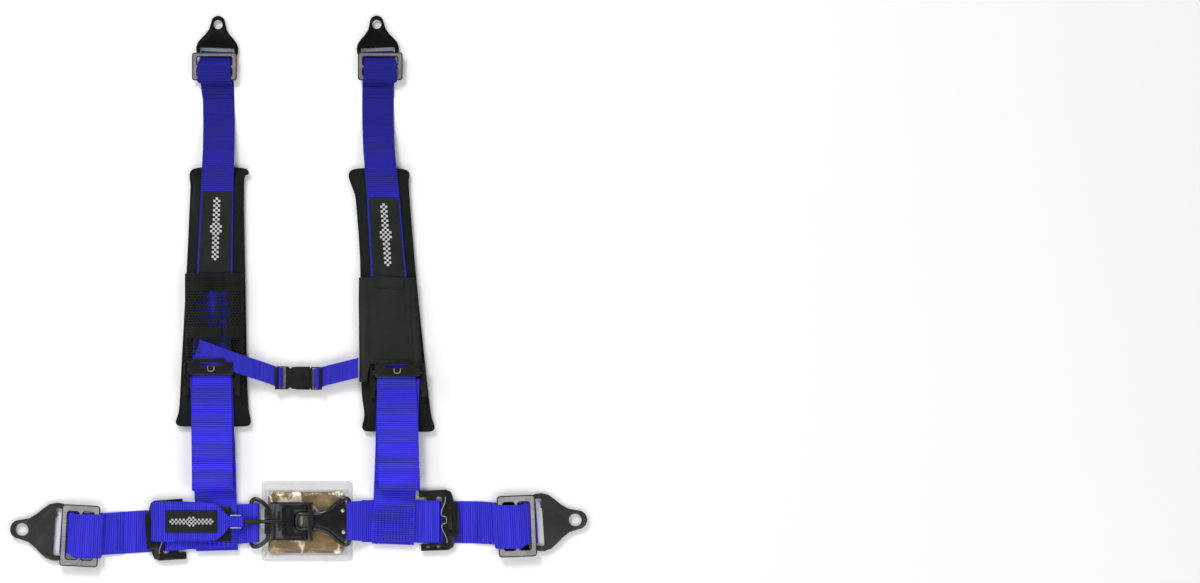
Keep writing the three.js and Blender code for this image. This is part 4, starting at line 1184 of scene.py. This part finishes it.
def insert_and_sleeve():
    """The crinkled gold insert, and the two welded films of its sleeve."""
    node = "padded_insert"
    low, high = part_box(node)
    pad = inflated("padded_insert_stuffed", node, 2.6 * MM, 3.0, 1.2 * MM, (0.975, 0.975, 0.8))
    pad.modifiers.new("finer", "SUBSURF").levels = 1
    applied(pad)
    points = points_of(pad)
    middle = 0.0029
    inner = np.minimum(np.minimum(points[:, 0] - low.x, high.x - points[:, 0]),
                       np.minimum(points[:, 1] - low.y, high.y - points[:, 1]))
    plump = 0.35 + 0.65 * smoothstep(inner, 0.0, 0.009)
    points[:, 2] = middle + (points[:, 2] - middle) * plump
    creases = np.array([crumple(p[0], p[1]) for p in points])
    upper = smoothstep(points[:, 2], middle, middle + 0.0008)
    points[:, 2] += upper * plump * (0.0014 * creases - 0.0004)
    points[:, 2] = np.clip(points[:, 2], 0.0009, 0.0051)
    move_points(pad, points)
    dress(smoothed(pad), node, GOLD)
    sleeve_low, sleeve_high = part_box("vinyl_sleeve")
    radius = 0.004

    def film(u, v):
        x = sleeve_low.x + (sleeve_high.x - sleeve_low.x) * v
        y = sleeve_low.y + (sleeve_high.y - sleeve_low.y) * u
        arc_x = min(max(x, sleeve_low.x + radius), sleeve_high.x - radius)
        arc_y = min(max(y, sleeve_low.y + radius), sleeve_high.y - radius)
        away = math.hypot(x - arc_x, y - arc_y)
        if away > radius:
            x, y = arc_x + (x - arc_x) * radius / away, arc_y + (y - arc_y) * radius / away
        out = max(low.x - x, x - high.x, low.y - y, y - high.y)
        rise = 1 - float(smoothstep(out, -0.001, 0.0042))
        edge = min(x - sleeve_low.x, sleeve_high.x - x, y - sleeve_low.y, sleeve_high.y - y)
        weld_line = sum(0.00022 * math.exp(-((edge - place) / 0.0004) ** 2) for place in (0.0012, 0.0034))
        ripple = 0.0005 * wobble(x * 55, y * 55, 2.2) * (1 - rise)
        crease = 0.0003 * crumple(x, y) * rise
        return (x, y, 0.0011 + 0.0042 * rise + weld_line + ripple + crease)

    top = panel("vinyl_sleeve_top", film, 88, 96, 0.0003)
    dress(top, "vinyl_sleeve", VINYL, CLEAR)
    for polygon in top.data.polygons:
        x, y, _ = polygon.center
        over = low.x - 0.001 < x < high.x + 0.001 and low.y - 0.001 < y < high.y + 0.001
        polygon.material_index = int(over)

    def base(u, v):
        x, y, _ = film(u, v)
        return (x, y, 0.0005)

    under = dress(panel("vinyl_sleeve_base", base, 30, 30, 0.0004), "vinyl_sleeve", VINYL, replaces=False)


def hook_patch():
    """Hook tape: a thin base covered with rows of little bristles."""
    node = "hook_patch"
    machined(node, 0.2 * MM, LABEL)
    low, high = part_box(node)
    pitch = 0.0016
    centres, ways = [], []
    for i, x in enumerate(np.arange(low.x + 0.001, high.x - 0.001, pitch)):
        for y in np.arange(low.y + 0.001 + (i % 2) * pitch / 2, high.y - 0.001, pitch):
            tilt = 0.3 * wobble(x * 900, y * 900, 0)
            centres.append((x, y, high.z + 0.0001))
            ways.append((0.7, tilt, 0.35))
    points, faces = spindles(centres, ways, 0.0011, 0.0002)
    dress(made("hook_patch_bristles", points, faces), node, DARK_THREAD, replaces=False)


# ---------- floor, light and camera ----------
VIEW_CENTRE = Vector((0.364, -0.0002, 0.0))   # the harness lies left of the view's middle
VIEW_WIDTH = 1.451
LENS = 130.0
SENSOR = 36.0
LIT_SPOT = Vector((0.1, -0.05, 0))            # every lamp points here


def stage():
    """A pale floor, an even sky and four soft lamps."""
    bpy.ops.mesh.primitive_plane_add(size=12, location=(0.3, 0, -0.0001))
    floor = bpy.context.object
    floor.name = "floor"
    look = Finish("floor_paper", 0.9)
    look.colour(look.blend(look.noise(3.0), (0.96, 0.96, 0.96), (0.975, 0.975, 0.975)))
    floor.data.materials.append(look.material)
    world = bpy.data.worlds.new("studio")
    bpy.context.scene.world = world
    world.use_nodes = True
    sky = world.node_tree.nodes["Background"]
    sky.inputs["Color"].default_value = (1, 1, 1, 1)
    sky.inputs["Strength"].default_value = 0.38
    lamps = [
        ("key", (-0.7, 1.8, 2.0), 0.8, 38.0), ("fill", (1.6, -1.1, 2.2), 1.4, 19.0),
        ("front", (-0.6, -1.7, 2.2), 1.4, 16.0), ("side", (-1.9, 0.5, 1.5), 0.9, 9.0),
    ]
    bpy.context.scene.view_settings.view_transform = "Standard"
    for name, spot, size, power in lamps:
        lamp = bpy.data.lights.new(name, "AREA")
        lamp.energy = power
        lamp.size = size
        thing = placed(name, lamp)
        thing.location = spot
        thing.rotation_euler = (LIT_SPOT - Vector(spot)).to_track_quat("-Z", "Y").to_euler()


def camera():
    """The photograph's view, from straight above."""
    data = bpy.data.cameras.new("camera")
    data.lens = LENS
    data.sensor_width = SENSOR
    data.clip_end = 50
    eye = placed("camera", data)
    eye.location = VIEW_CENTRE + Vector((0, 0, LENS / SENSOR * VIEW_WIDTH))
    bpy.context.scene.camera = eye


camera()
stage()
belts()
hardware()
for side in SIDES:
    shoulder_pad(side)
net_pocket()
pad_wrap()
flap()
labels()
pull_tab()
patch("left", 7)
patch("right", 11)
belt_seams()
insert_and_sleeve()
hook_patch()
